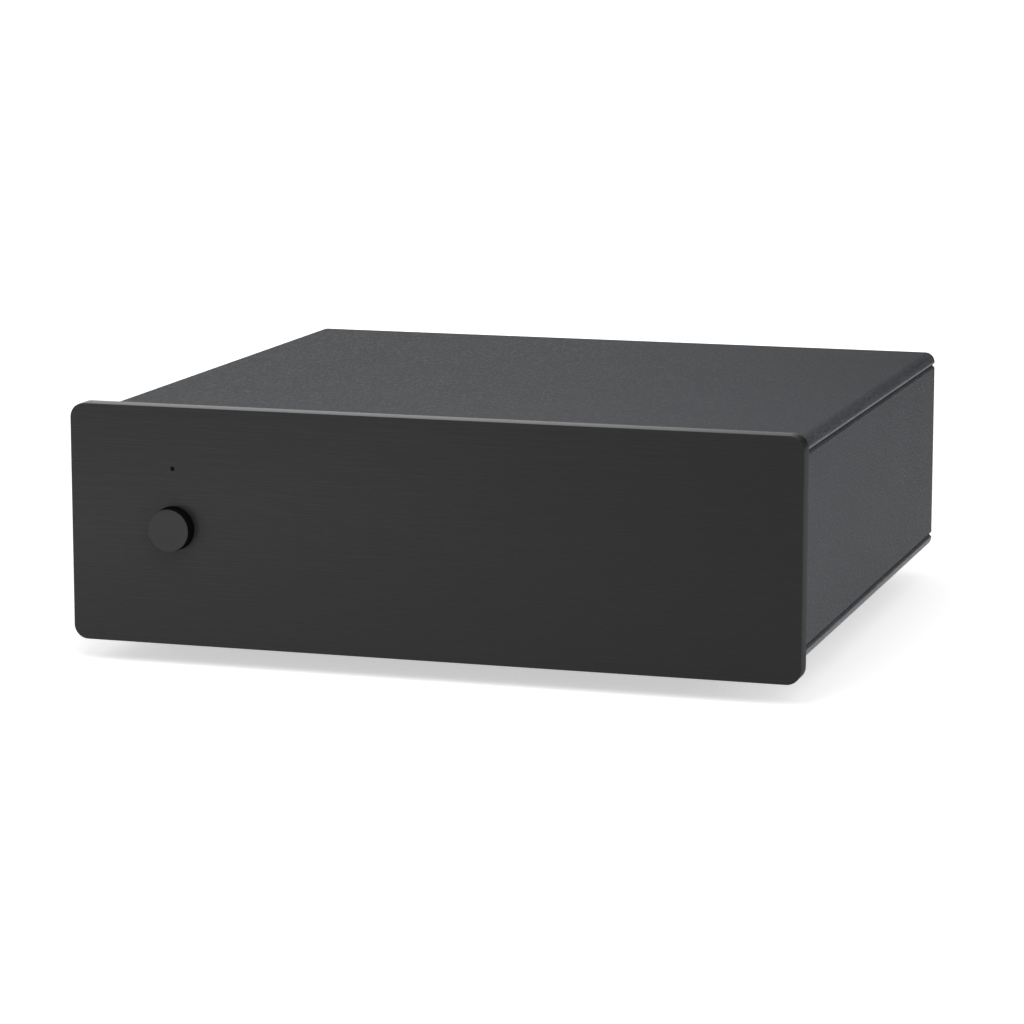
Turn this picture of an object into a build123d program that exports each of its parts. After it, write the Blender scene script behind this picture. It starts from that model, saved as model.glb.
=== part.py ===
from build123d import *
from math import cos, pi, sin
import os

# A phono preamplifier in a low case of extruded aluminium. A thick brushed front panel stands
# proud of the case all round. Behind it the case is four extrusions, two covers and two sides,
# that slide into each other and are held between a front sub-plate and the rear panel.
#
# Millimetres. The origin is the middle of the overall box, on the surface that the feet stand
# on. +X is to the right seen from the front, +Y runs to the back and +Z is up.

os.makedirs("parts", exist_ok=True)

# ---- Front panel
front_width = 206.0
front_height = 66.0
front_thickness = 6.0
front_corner_radius = 4.0
front_edge_break = 0.3
front_overhang_side = 2.5  # past the case on the left and the right
front_overhang_end = 2.75  # past the case above and below

# ---- Case
case_depth = 194.0  # front of the front panel to the back of the rear panel
foot_height = 8.75
cover_thickness = 2.5
cover_corner_radius = 3.0
lip_height = 4.0  # the covers' turned-down edge, from the outside of the cover to the seam
lip_thickness = 1.5
seam_chamfer = 0.6  # each side of the V groove along a seam
side_thickness = 3.0
slide_clearance = 0.15  # between extrusions that slide into each other
rib_thickness = 1.5
rib_depth = 3.9  # below the inside of the cover
hook_reach = 1.0
hook_height = 1.0
subplate_thickness = 1.5
rear_thickness = 2.0
panel_inset = 1.0  # sub-plate and rear panel inside the outline of the extrusions
panel_corner_radius = 2.5

# ---- Screw ports, open tubes along the side extrusions that the panels screw into
port_outer_radius = 2.9
port_slot_width = 1.6
port_set_in = 2.5  # from the inside of the side panel to the middle of the port
port_from_end = 9.75  # from the top or bottom of the case

# ---- Round parts that are drawn with flat sides
small_round_sides = 8  # screws, their holes and parts of their size
plain_round_sides = 12  # larger ones that nothing turns or plugs into
foot_sides = 24

# ---- Screws
screw_radius = 1.25
screw_head_radius = 2.75
screw_head_height = 2.0
screw_head_rim = 0.1  # of a countersunk head, above its cone
thread_clearance = 0.05  # round a thread in its hole
pass_clearance = 0.45  # round a screw in a hole that it passes through
panel_screw_length = 10.0
front_screw_grip = 4.5  # in the front panel
front_screw_from_side = 50.5  # from the left or right side of the case
front_screw_from_end = 8.25  # from the top or bottom of the case
pillar_screw_gap = 0.2  # between the tips of the two screws in a pillar, on each side of its middle
foot_screw_tip = 1.25  # past the inside of the base

# ---- Feet
foot_radius = 9.0
foot_edge = 0.75  # chamfer at the floor
foot_recess_radius = 4.0
foot_web = 4.25  # rubber under the screw's head
foot_from_side = 24.5  # from the left or right side of the case
foot_front_depth = 42.0  # behind the front face
foot_from_rear = 30.0

# ---- Boards
board_thickness = 1.6
board_height = 6.5  # underside of the main board above the bottom of the case
board_side_gap = 8.5  # to the inside of the side panel
board_front_depth = 30.0  # behind the front face
board_rear_gap = 1.5  # to the inside of the rear panel
pillar_width = 5.5  # across the flats, of all pillars
pillar_inset = 7.0  # from the side edges of the main board
pillar_front_depth = 60.0
pillar_from_rear = 19.0
front_board_width = 34.0
front_board_top_gap = 2.75  # to the inside of the top cover
front_board_drop = 11.0  # lower edge of the front board below the middle of the case
front_board_gap = 14.0  # length of the pillars that carry it
front_pillar_inset = 4.0  # from the edges of the front board
front_pillar_bore_depth = 6.0
front_pillar_stub_radius = 1.9
front_pillar_stub_length = 1.2
front_pillar_stub_clearance = 0.1

# ---- Power button and its switch
button_from_side = 30.0  # from the left edge of the front panel
button_drop = 0.5  # below the middle of the case
button_radius = 5.85
button_protrusion = 4.0
button_edge_break = 0.15
button_gap = 0.2  # all round the button, in the hole in the panel
button_travel = 2.5
button_flange_width = 1.1
button_flange_thickness = 1.5
button_skin = 2.0  # front panel left in front of the flange
button_stop_gap = 0.3
button_pocket_clearance = 0.6
button_socket_depth = 4.0
stem_width = 2.4
stem_reach = 2.5  # into the switch at rest
stem_clearance = 0.1
collar_width = 6.4
collar_thickness = 0.8
switch_width = 8.0
switch_depth = 9.0
switch_bore_spare = 1.0
spring_length = 4.5
spring_radius = 2.6
spring_wire_width = 0.5
spring_turns = 3

# ---- Indicator lamp above the button
lamp_rise = 16.5  # above the button
lamp_hole_radius = 0.6
lamp_skin = 1.5  # front panel left in front of the light pipe
pipe_radius = 1.5
pipe_tip_radius = 0.5
pipe_tip_recess = 0.6
pipe_length = 10.4
pipe_flange_radius = 2.6
pipe_flange_thickness = 1.0
pipe_clearance = 0.1
led_radius = 1.5
led_length = 4.3
led_rim_radius = 1.9
led_rim_thickness = 1.0
led_lead_width = 0.5
led_lead_pitch = 2.54
led_gap = 0.3

# ---- Phono sockets in the rear panel
socket_protrusion = 11.0
socket_height = 20.25  # above the bottom of the case
input_x = (44.0, 64.0)
output_x = (-40.0, -20.0)
sleeve_radius = 4.15
sleeve_wall = 0.75
neck_wall = 1.5
neck_protrusion = 3.0
neck_clearance = 0.1
socket_nut_width = 13.0  # across the flats, of the nut and of the flange inside
socket_nut_thickness = 2.5
socket_flange_thickness = 2.0
socket_inner_length = 9.0  # behind the rear panel
insulator_recess = 0.6
contact_bore_radius = 1.6
contact_wall = 0.5
contact_recess = 1.0
contact_bore_depth = 8.5
contact_tail_length = 4.0
contact_tail_width = 1.6
contact_tail_thickness = 0.8

# ---- Ground terminal
ground_x = 12.0
ground_post_radius = 2.0
ground_post_end = 10.5  # behind the rear panel's outer face
ground_post_inner = 6.0
ground_post_clearance = 0.1
ground_flange_width = 8.0  # across the flats
ground_flange_thickness = 1.2
ground_washer_radius = 4.5
ground_washer_thickness = 0.8
ground_washer_clearance = 0.3
ground_nut_radius = 5.0
ground_nut_length = 5.0
ground_nut_clearance = 0.06
ground_nut_groove = 1.2
ground_nut_grooves = 12
lock_nut_width = 7.0
lock_nut_thickness = 3.0

# ---- Power inlet for a barrel plug
inlet_from_side = 14.0  # from the left edge of the main board
inlet_width = 9.0
inlet_length = 13.0
inlet_body_height = 11.0
inlet_axis_height = 6.5  # above the main board
inlet_nose_radius = 4.3
inlet_nose_clearance = 0.2
inlet_nose_protrusion = 0.5
inlet_nose_wall = 1.15
inlet_mouth_depth = 9.5
inlet_pin_radius = 1.05
inlet_pin_recess = 1.0

# ---- Setting switches under the case, one bank a channel
bank_x = 30.0
bank_depth = 118.0  # behind the front face
lever_count = 6
lever_pitch = 2.54
bank_end_margin = 0.85
bank_width = 9.9  # along the case
bank_recess = 1.0  # below the outside of the base
bank_window_gap = 0.5
lever_width = 1.1
lever_length = 1.9
lever_travel = 1.8
lever_side_gap = 0.1
lever_end_gap = 0.05
lever_stand = 0.7  # out of the face of the bank
slot_depth = 1.5

# ---- Parts on the main board
capacitor_radius = 6.5
capacitor_height = 25.0
capacitor_pitch = 17.0
capacitor_columns = 3
capacitor_rows = 2
capacitor_x = -48.0
capacitor_depth = 108.0
film_width = 7.2
film_length = 10.0
film_height = 11.0
film_pitch = 13.0
film_columns = 4
film_rows = 2
film_x = 40.0
film_depth = 138.0
chip_width = 6.4
chip_length = 9.8
chip_height = 3.4
chip_pitch = 18.0
chip_columns = 2
chip_rows = 2
chip_gap = 6.3  # to the film capacitors behind the chips
regulator_from_side = 9.0  # from the left edge of the main board
regulator_pitch = 18.0
regulator_depth = 152.0
regulator_width = 10.0
regulator_body_height = 9.0
regulator_body_thickness = 4.4
regulator_tab_height = 15.6
regulator_tab_thickness = 1.3
regulator_hole_radius = 1.8
regulator_leg_height = 3.0
regulator_leg_width = 0.8
regulator_leg_pitch = 2.54
regulator_legs = 3

# ---- Ribbon cable between the boards
ribbon_width = 12.0
ribbon_thickness = 1.0
ribbon_bend = 4.0
ribbon_plug_width = 14.0
ribbon_plug_length = 6.0
ribbon_plug_height = 7.0
ribbon_plug_rise = 6.0  # middle of the upper plug above the lower edge of the front board
ribbon_lower_depth = 43.0

# ---- Places that follow from these sizes
body_width = front_width - 2 * front_overhang_side
body_height = front_height - 2 * front_overhang_end
half_width = body_width / 2
half_height = body_height / 2
body_bottom = foot_height
body_middle = body_bottom + half_height
front_face = (button_protrusion - case_depth - socket_protrusion) / 2
front_back = front_face + front_thickness
subplate_back = front_back + subplate_thickness
rear_face = front_face + case_depth
rear_inner = rear_face - rear_thickness
extrusion_length = rear_inner - subplate_back
side_inner = half_width - side_thickness
cover_inner = half_height - cover_thickness  # heights in the section count from the middle
seam = half_height - lip_height
thread_radius = screw_radius + thread_clearance
pass_radius = screw_radius + pass_clearance
port_x = side_inner - port_set_in
port_rise = half_height - port_from_end
front_screw_x = half_width - front_screw_from_side
front_screw_rise = half_height - front_screw_from_end
front_screw_length = subplate_thickness + front_screw_grip
foot_x = half_width - foot_from_side
foot_seat = foot_height - foot_web
foot_screw_length = foot_web + cover_thickness + foot_screw_tip
board_half_width = side_inner - board_side_gap
board_bottom = body_bottom + board_height
board_top = board_bottom + board_thickness
board_front = front_face + board_front_depth
board_rear = rear_inner - board_rear_gap
pillar_x = board_half_width - pillar_inset
pillar_length = board_height - cover_thickness
pillar_screw_grip = pillar_length / 2 - pillar_screw_gap
base_screw_length = cover_thickness + pillar_screw_grip
board_screw_length = board_thickness + pillar_screw_grip
button_x = button_from_side - front_width / 2
button_flange_radius = button_radius + button_flange_width
button_pocket_radius = button_flange_radius + button_pocket_clearance
front_board_front = subplate_back + front_board_gap
front_board_back = front_board_front + board_thickness
front_board_height = cover_inner - front_board_top_gap + front_board_drop
front_board_lift = front_board_height / 2 - front_board_drop
button_height = body_middle - button_drop
lamp_height = button_height + lamp_rise
neck_radius = sleeve_radius - sleeve_wall + neck_wall
insulator_radius = sleeve_radius - sleeve_wall
contact_radius = contact_bore_radius + contact_wall
socket_axis = body_bottom + socket_height
socket_x = output_x + input_x
inlet_x = inlet_from_side - board_half_width
inlet_axis = board_top + inlet_axis_height
bank_face = body_bottom + bank_recess
bank_length = lever_count * lever_pitch + 2 * bank_end_margin
slot_width = lever_width + 2 * lever_side_gap
slot_length = lever_length + lever_travel + 2 * lever_end_gap

port_places = [(x, z) for x in (-port_x, port_x) for z in (-port_rise, port_rise)]
front_screw_places = [
    (x, z) for x in (-front_screw_x, front_screw_x) for z in (-front_screw_rise, front_screw_rise)
]
foot_places = {
    "front_left": (-foot_x, front_face + foot_front_depth),
    "front_right": (foot_x, front_face + foot_front_depth),
    "rear_left": (-foot_x, rear_face - foot_from_rear),
    "rear_right": (foot_x, rear_face - foot_from_rear),
}
pillar_places = [
    (x, y)
    for x in (-pillar_x, pillar_x)
    for y in (front_face + pillar_front_depth, rear_face - pillar_from_rear)
]
front_pillar_places = [
    (
        button_x + side * (front_board_width / 2 - front_pillar_inset),
        front_board_lift + end * (front_board_height / 2 - front_pillar_inset),
    )
    for side in (-1, 1)
    for end in (-1, 1)
]

# Turns that bring a screw's head, which is modelled upwards, to face another way.
HEAD_TO_BACK = (-90, 0, 0)
HEAD_TO_FRONT = (90, 0, 0)
HEAD_DOWN = (180, 0, 0)


def upright(y, z=body_middle):
    """A plane across the case at y, facing the front, with its origin at height z."""
    return Plane(origin=(0, y, z), x_dir=(1, 0, 0), z_dir=(0, -1, 0))


def cover_extrusion(up):
    """A cover's extrusion. `up` is 1 for the top and -1 for the base.

    The plate ends in a rounded corner and a lip that comes down over the side panel's tongue.
    A rib inside runs down the panel's inner face and hooks into its slot, so that the cover
    slides in along the case and can't lift.
    """
    rib_outer = side_inner - slide_clearance
    rib_tip = cover_inner - rib_depth
    with BuildPart() as extrusion:
        with BuildSketch(upright(rear_inner)) as section:
            with BuildLine():
                Polyline(
                    (0, up * half_height),
                    (half_width, up * half_height),
                    (half_width, up * (seam + seam_chamfer)),
                    (half_width - seam_chamfer, up * seam),
                    (half_width - lip_thickness, up * seam),
                    (half_width - lip_thickness, up * cover_inner),
                    (rib_outer, up * cover_inner),
                    (rib_outer, up * (rib_tip + hook_height)),
                    (rib_outer + hook_reach, up * (rib_tip + hook_height)),
                    (rib_outer + hook_reach, up * rib_tip),
                    (rib_outer - rib_thickness, up * rib_tip),
                    (rib_outer - rib_thickness, up * cover_inner),
                    (0, up * cover_inner),
                )
                mirror(about=Plane.YZ)
            make_face()
            outside = section.vertices().group_by(Axis.Y)[-1 if up > 0 else 0]
            fillet(outside, cover_corner_radius)
        extrude(amount=extrusion_length)
    return extrusion.part


def side_extrusion(side):
    """A side panel's extrusion. `side` is -1 for the left and 1 for the right.

    Its tongues stand behind the covers' lips, its slots take their hooks, and two open tubes
    along its inner face are the ports for the panels' screws.
    """
    rib_tip = cover_inner - rib_depth
    slot_floor = side_inner + hook_reach
    tongue_outer = half_width - lip_thickness - slide_clearance
    with BuildPart() as extrusion:
        with BuildSketch(upright(rear_inner)):
            with BuildLine():
                Polyline(
                    (side * half_width, 0),
                    (side * half_width, seam - seam_chamfer),
                    (side * (half_width - seam_chamfer), seam),
                    (side * tongue_outer, seam),
                    (side * tongue_outer, cover_inner - slide_clearance),
                    (side * side_inner, cover_inner - slide_clearance),
                    (side * side_inner, rib_tip + hook_height + slide_clearance),
                    (side * slot_floor, rib_tip + hook_height + slide_clearance),
                    (side * slot_floor, rib_tip - slide_clearance),
                    (side * side_inner, rib_tip - slide_clearance),
                    (side * side_inner, 0),
                )
                mirror(about=Plane.XZ)
            make_face()
            with Locations((side * port_x, port_rise), (side * port_x, -port_rise)):
                Circle(port_outer_radius)
            with Locations((side * port_x, port_rise), (side * port_x, -port_rise)):
                Circle(thread_radius, mode=Mode.SUBTRACT)
            slot_middle = side * (port_x - port_outer_radius / 2)
            with Locations((slot_middle, port_rise), (slot_middle, -port_rise)):
                Rectangle(port_outer_radius, port_slot_width, mode=Mode.SUBTRACT)
        extrude(amount=extrusion_length)
    return extrusion.part


def pan_screw(length):
    """A screw with a low round head, head up, with its seat at the origin."""
    with BuildPart() as screw:
        with BuildSketch():
            RegularPolygon(screw_head_radius, small_round_sides)
        extrude(amount=screw_head_height)
        with BuildSketch():
            RegularPolygon(screw_radius, small_round_sides)
        extrude(amount=-length)
    return screw.part


def flat_screw(shank_radius, length):
    """A countersunk screw, head up, with its flat top at the origin, or the room for one."""
    cone_depth = (screw_head_radius - shank_radius) * cos(pi / small_round_sides)
    with BuildPart() as screw:
        with BuildSketch():
            RegularPolygon(screw_head_radius, small_round_sides)
        extrude(amount=-(screw_head_rim + cone_depth))
        chamfer(screw.edges().group_by(Axis.Z)[0], cone_depth)
        with BuildSketch():
            RegularPolygon(shank_radius, small_round_sides)
        extrude(amount=-length)
    return screw.part


# ==== Case

with BuildPart() as front_panel:
    with BuildSketch(upright(front_back)):
        RectangleRounded(front_width, front_height, front_corner_radius)
    extrude(amount=front_thickness)
    chamfer(front_panel.faces().sort_by(Axis.Y)[0].edges(), front_edge_break)
    with BuildSketch(upright(front_back, button_height)):
        with Locations((button_x, 0)):
            Circle(button_radius + button_gap)
        with Locations((button_x, lamp_rise)):
            RegularPolygon(lamp_hole_radius, small_round_sides)
    extrude(amount=front_thickness, mode=Mode.SUBTRACT)
    with BuildSketch(upright(front_back, button_height)):
        with Locations((button_x, 0)):
            RegularPolygon(button_pocket_radius, plain_round_sides, major_radius=False)
    extrude(amount=front_thickness - button_skin, mode=Mode.SUBTRACT)
    with BuildSketch(upright(front_back, lamp_height)):
        with Locations((button_x, 0)):
            RegularPolygon(pipe_radius + pipe_clearance, small_round_sides)
    extrude(amount=front_thickness - lamp_skin, mode=Mode.SUBTRACT)
    with BuildSketch(upright(front_back)):
        with Locations(*front_screw_places):
            RegularPolygon(thread_radius, small_round_sides)
    extrude(amount=front_screw_grip, mode=Mode.SUBTRACT)
front_panel.part.label = "front_panel"
export_step(front_panel.part, "parts/front_panel.step")

with BuildPart() as front_subplate:
    with BuildSketch(upright(subplate_back)):
        RectangleRounded(
            body_width - 2 * panel_inset, body_height - 2 * panel_inset, panel_corner_radius
        )
        with Locations((button_x, -button_drop)):
            RegularPolygon(
                button_pocket_radius, plain_round_sides, major_radius=False, mode=Mode.SUBTRACT
            )
        with Locations((button_x, lamp_rise - button_drop)):
            RegularPolygon(pipe_radius + pipe_clearance, small_round_sides, mode=Mode.SUBTRACT)
        with Locations(*front_screw_places):
            RegularPolygon(pass_radius, small_round_sides, mode=Mode.SUBTRACT)
        with Locations(*front_pillar_places):
            RegularPolygon(
                front_pillar_stub_radius + front_pillar_stub_clearance,
                small_round_sides,
                mode=Mode.SUBTRACT,
            )
    extrude(amount=subplate_thickness)
    with Locations(
        *[Location((x, front_back, body_middle + z), HEAD_TO_FRONT) for x, z in port_places]
    ):
        add(flat_screw(thread_radius, subplate_thickness), mode=Mode.SUBTRACT)
front_subplate.part.label = "front_subplate"
export_step(front_subplate.part, "parts/front_subplate.step")

with BuildPart() as top_cover:
    add(cover_extrusion(1))
top_cover.part.label = "top_cover"
export_step(top_cover.part, "parts/top_cover.step")

with BuildPart() as base_cover:
    add(cover_extrusion(-1))
    with BuildSketch(Plane.XY.offset(body_bottom)):
        with Locations(*foot_places.values()):
            RegularPolygon(thread_radius, small_round_sides)
        with Locations(*[(x, front_face + bank_depth) for x in (-bank_x, bank_x)]):
            Rectangle(bank_length + 2 * bank_window_gap, bank_width + 2 * bank_window_gap)
    extrude(amount=cover_thickness, mode=Mode.SUBTRACT)
    with Locations(*[Location((x, y, body_bottom), HEAD_DOWN) for x, y in pillar_places]):
        add(flat_screw(thread_radius, cover_thickness), mode=Mode.SUBTRACT)
base_cover.part.label = "base_cover"
export_step(base_cover.part, "parts/base_cover.step")

with BuildPart() as side_panel_left:
    add(side_extrusion(-1))
side_panel_left.part.label = "side_panel_left"
export_step(side_panel_left.part, "parts/side_panel_left.step")

with BuildPart() as side_panel_right:
    add(side_extrusion(1))
side_panel_right.part.label = "side_panel_right"
export_step(side_panel_right.part, "parts/side_panel_right.step")

with BuildPart() as rear_panel:
    with BuildSketch(upright(rear_face)):
        RectangleRounded(
            body_width - 2 * panel_inset, body_height - 2 * panel_inset, panel_corner_radius
        )
        with Locations(*port_places):
            RegularPolygon(pass_radius, small_round_sides, mode=Mode.SUBTRACT)
        with Locations(*[(x, socket_axis - body_middle) for x in socket_x]):
            RegularPolygon(
                neck_radius + neck_clearance,
                small_round_sides,
                major_radius=False,
                mode=Mode.SUBTRACT,
            )
        with Locations((ground_x, socket_axis - body_middle)):
            RegularPolygon(
                ground_post_radius + ground_post_clearance,
                small_round_sides,
                major_radius=False,
                mode=Mode.SUBTRACT,
            )
        with Locations((inlet_x, inlet_axis - body_middle)):
            Circle(inlet_nose_radius + inlet_nose_clearance, mode=Mode.SUBTRACT)
    extrude(amount=rear_thickness)
rear_panel.part.label = "rear_panel"
export_step(rear_panel.part, "parts/rear_panel.step")

# ==== Screws of the case

with BuildPart() as rear_panel_screws:
    with Locations(
        *[Location((x, rear_face, body_middle + z), HEAD_TO_BACK) for x, z in port_places]
    ):
        add(pan_screw(panel_screw_length))
rear_panel_screws.part.label = "rear_panel_screws"
export_step(rear_panel_screws.part, "parts/rear_panel_screws.step")

with BuildPart() as subplate_screws:
    with Locations(
        *[Location((x, front_back, body_middle + z), HEAD_TO_FRONT) for x, z in port_places]
    ):
        add(flat_screw(screw_radius, panel_screw_length))
subplate_screws.part.label = "subplate_screws"
export_step(subplate_screws.part, "parts/subplate_screws.step")

with BuildPart() as front_panel_screws:
    with Locations(
        *[
            Location((x, subplate_back, body_middle + z), HEAD_TO_BACK)
            for x, z in front_screw_places
        ]
    ):
        add(pan_screw(front_screw_length))
front_panel_screws.part.label = "front_panel_screws"
export_step(front_panel_screws.part, "parts/front_panel_screws.step")

# ==== Feet

for corner, (foot_at_x, foot_at_y) in foot_places.items():
    with BuildPart() as foot:
        with BuildSketch(Plane.XY.offset(foot_height)):
            with Locations((foot_at_x, foot_at_y)):
                RegularPolygon(foot_radius, foot_sides)
        extrude(amount=-foot_height)
        chamfer(foot.edges().group_by(Axis.Z)[0], foot_edge)
        with BuildSketch(Plane.XY):
            with Locations((foot_at_x, foot_at_y)):
                RegularPolygon(foot_recess_radius, small_round_sides)
        extrude(amount=foot_seat, mode=Mode.SUBTRACT)
        with BuildSketch(Plane.XY.offset(foot_seat)):
            with Locations((foot_at_x, foot_at_y)):
                RegularPolygon(pass_radius, small_round_sides)
        extrude(amount=foot_web, mode=Mode.SUBTRACT)
    foot.part.label = f"foot_{corner}"
    export_step(foot.part, f"parts/foot_{corner}.step")

with BuildPart() as foot_screws:
    with Locations(
        *[Location((x, y, foot_seat), HEAD_DOWN) for x, y in foot_places.values()]
    ):
        add(pan_screw(foot_screw_length))
foot_screws.part.label = "foot_screws"
export_step(foot_screws.part, "parts/foot_screws.step")

# ==== Boards

with BuildPart() as main_board:
    with BuildSketch(Plane.XY.offset(board_bottom)):
        with Locations((0, (board_front + board_rear) / 2)):
            Rectangle(2 * board_half_width, board_rear - board_front)
        with Locations(*pillar_places):
            RegularPolygon(pass_radius, small_round_sides, mode=Mode.SUBTRACT)
    extrude(amount=board_thickness)
main_board.part.label = "main_board"
export_step(main_board.part, "parts/main_board.step")

with BuildPart() as board_pillars:
    with BuildSketch(Plane.XY.offset(body_bottom + cover_thickness)):
        with Locations(*pillar_places):
            RegularPolygon(pillar_width / 2, 6, major_radius=False)
            RegularPolygon(thread_radius, small_round_sides, mode=Mode.SUBTRACT)
    extrude(amount=pillar_length)
board_pillars.part.label = "board_pillars"
export_step(board_pillars.part, "parts/board_pillars.step")

with BuildPart() as base_screws:
    with Locations(*[Location((x, y, body_bottom), HEAD_DOWN) for x, y in pillar_places]):
        add(flat_screw(screw_radius, base_screw_length))
base_screws.part.label = "base_screws"
export_step(base_screws.part, "parts/base_screws.step")

with BuildPart() as front_board:
    with BuildSketch(upright(front_board_back)):
        with Locations((button_x, front_board_lift)):
            Rectangle(front_board_width, front_board_height)
        with Locations(*front_pillar_places):
            RegularPolygon(pass_radius, small_round_sides, mode=Mode.SUBTRACT)
    extrude(amount=board_thickness)
front_board.part.label = "front_board"
export_step(front_board.part, "parts/front_board.step")

with BuildPart() as front_board_pillars:
    with BuildSketch(upright(front_board_front)):
        with Locations(*front_pillar_places):
            RegularPolygon(pillar_width / 2, 6, major_radius=False)
    extrude(amount=front_board_gap)
    with BuildSketch(upright(subplate_back)):
        with Locations(*front_pillar_places):
            RegularPolygon(front_pillar_stub_radius, small_round_sides)
    extrude(amount=front_pillar_stub_length)
    with BuildSketch(upright(front_board_front)):
        with Locations(*front_pillar_places):
            RegularPolygon(thread_radius, small_round_sides)
    extrude(amount=front_pillar_bore_depth, mode=Mode.SUBTRACT)
front_board_pillars.part.label = "front_board_pillars"
export_step(front_board_pillars.part, "parts/front_board_pillars.step")

with BuildPart() as board_screws:
    with Locations(*[(x, y, board_top) for x, y in pillar_places]):
        add(pan_screw(board_screw_length))
    with Locations(
        *[
            Location((x, front_board_back, body_middle + z), HEAD_TO_BACK)
            for x, z in front_pillar_places
        ]
    ):
        add(pan_screw(board_screw_length))
board_screws.part.label = "board_screws"
export_step(board_screws.part, "parts/board_screws.step")

# ==== Power button and its switch

flange_front = front_face + button_skin + button_stop_gap
flange_back = flange_front + button_flange_thickness
switch_front = front_board_front - switch_depth
collar_back = switch_front - spring_length

with BuildPart() as power_button:
    with BuildSketch(upright(flange_back, button_height)):
        with Locations((button_x, 0)):
            Circle(button_radius)
    extrude(amount=flange_back - front_face + button_protrusion)
    chamfer(power_button.edges().sort_by(Axis.Y)[0], button_edge_break)
    with BuildSketch(upright(flange_back, button_height)):
        with Locations((button_x, 0)):
            RegularPolygon(button_flange_radius, plain_round_sides)
    extrude(amount=button_flange_thickness)
    with BuildSketch(upright(flange_back, button_height)):
        with Locations((button_x, 0)):
            Rectangle(stem_width, stem_width)
    extrude(amount=button_socket_depth, mode=Mode.SUBTRACT)
power_button.part.label = "power_button"
export_step(power_button.part, "parts/power_button.step")

with BuildPart() as switch_plunger:
    with BuildSketch(upright(switch_front + stem_reach, button_height)):
        with Locations((button_x, 0)):
            Rectangle(stem_width, stem_width)
    extrude(amount=switch_front + stem_reach - flange_back + button_socket_depth)
    with BuildSketch(upright(collar_back, button_height)):
        with Locations((button_x, 0)):
            Rectangle(collar_width, collar_width)
    extrude(amount=collar_thickness)
switch_plunger.part.label = "switch_plunger"
export_step(switch_plunger.part, "parts/switch_plunger.step")

with BuildPart() as switch_housing:
    with BuildSketch(upright(front_board_front, button_height)):
        with Locations((button_x, 0)):
            Rectangle(switch_width, switch_width)
    extrude(amount=switch_depth)
    with BuildSketch(upright(switch_front, button_height)):
        with Locations((button_x, 0)):
            Rectangle(stem_width + 2 * stem_clearance, stem_width + 2 * stem_clearance)
    extrude(amount=-(stem_reach + button_travel + switch_bore_spare), mode=Mode.SUBTRACT)
switch_housing.part.label = "switch_housing"
export_step(switch_housing.part, "parts/switch_housing.step")

# The return spring stands between the collar and the switch. Its wire runs in short straight
# steps along a helix.
spring_steps = spring_turns * small_round_sides
spring_rise = (spring_length - 2 * spring_wire_width) / spring_steps
spring_points = [
    (
        button_x + spring_radius * cos(2 * pi * step / small_round_sides),
        collar_back + spring_wire_width + step * spring_rise,
        button_height + spring_radius * sin(2 * pi * step / small_round_sides),
    )
    for step in range(spring_steps + 1)
]
with BuildPart() as switch_spring:
    with BuildLine() as coil:
        Polyline(*spring_points)
    with BuildSketch(Plane(origin=coil.line @ 0, x_dir=(1, 0, 0), z_dir=coil.line % 0)):
        Rectangle(spring_wire_width, spring_wire_width)
    sweep(transition=Transition.RIGHT)
switch_spring.part.label = "switch_spring"
export_step(switch_spring.part, "parts/switch_spring.step")

# ==== Indicator lamp

pipe_front = front_face + lamp_skin
pipe_back = pipe_front + pipe_length

with BuildPart() as light_pipe:
    with BuildSketch(upright(pipe_back, lamp_height)):
        with Locations((button_x, 0)):
            RegularPolygon(pipe_radius, small_round_sides)
    extrude(amount=pipe_length)
    with BuildSketch(upright(pipe_front, lamp_height)):
        with Locations((button_x, 0)):
            RegularPolygon(pipe_tip_radius, small_round_sides)
    extrude(amount=lamp_skin - pipe_tip_recess)
    with BuildSketch(upright(subplate_back + pipe_flange_thickness, lamp_height)):
        with Locations((button_x, 0)):
            RegularPolygon(pipe_flange_radius, small_round_sides)
    extrude(amount=pipe_flange_thickness)
light_pipe.part.label = "light_pipe"
export_step(light_pipe.part, "parts/light_pipe.step")

led_front = pipe_back + led_gap
led_back = led_front + led_length

with BuildPart() as power_led:
    with BuildSketch(upright(led_back, lamp_height)):
        with Locations((button_x, 0)):
            RegularPolygon(led_radius, small_round_sides)
    extrude(amount=led_length)
    with BuildSketch(upright(led_back, lamp_height)):
        with Locations((button_x, 0)):
            RegularPolygon(led_rim_radius, small_round_sides)
    extrude(amount=led_rim_thickness)
    with BuildSketch(upright(front_board_front, lamp_height)):
        with Locations((button_x - led_lead_pitch / 2, 0), (button_x + led_lead_pitch / 2, 0)):
            Rectangle(led_lead_width, led_lead_width)
    extrude(amount=front_board_front - led_back)
power_led.part.label = "power_led"
export_step(power_led.part, "parts/power_led.step")

# ==== Phono sockets

sleeve_end = rear_face + socket_protrusion
socket_inner_end = rear_inner - socket_inner_length
contact_mouth = sleeve_end - contact_recess
contact_tail_end = socket_inner_end - contact_tail_length

socket_names = {
    "output_socket_left": output_x[0],
    "output_socket_right": output_x[1],
    "input_socket_left": input_x[0],
    "input_socket_right": input_x[1],
}

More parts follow.
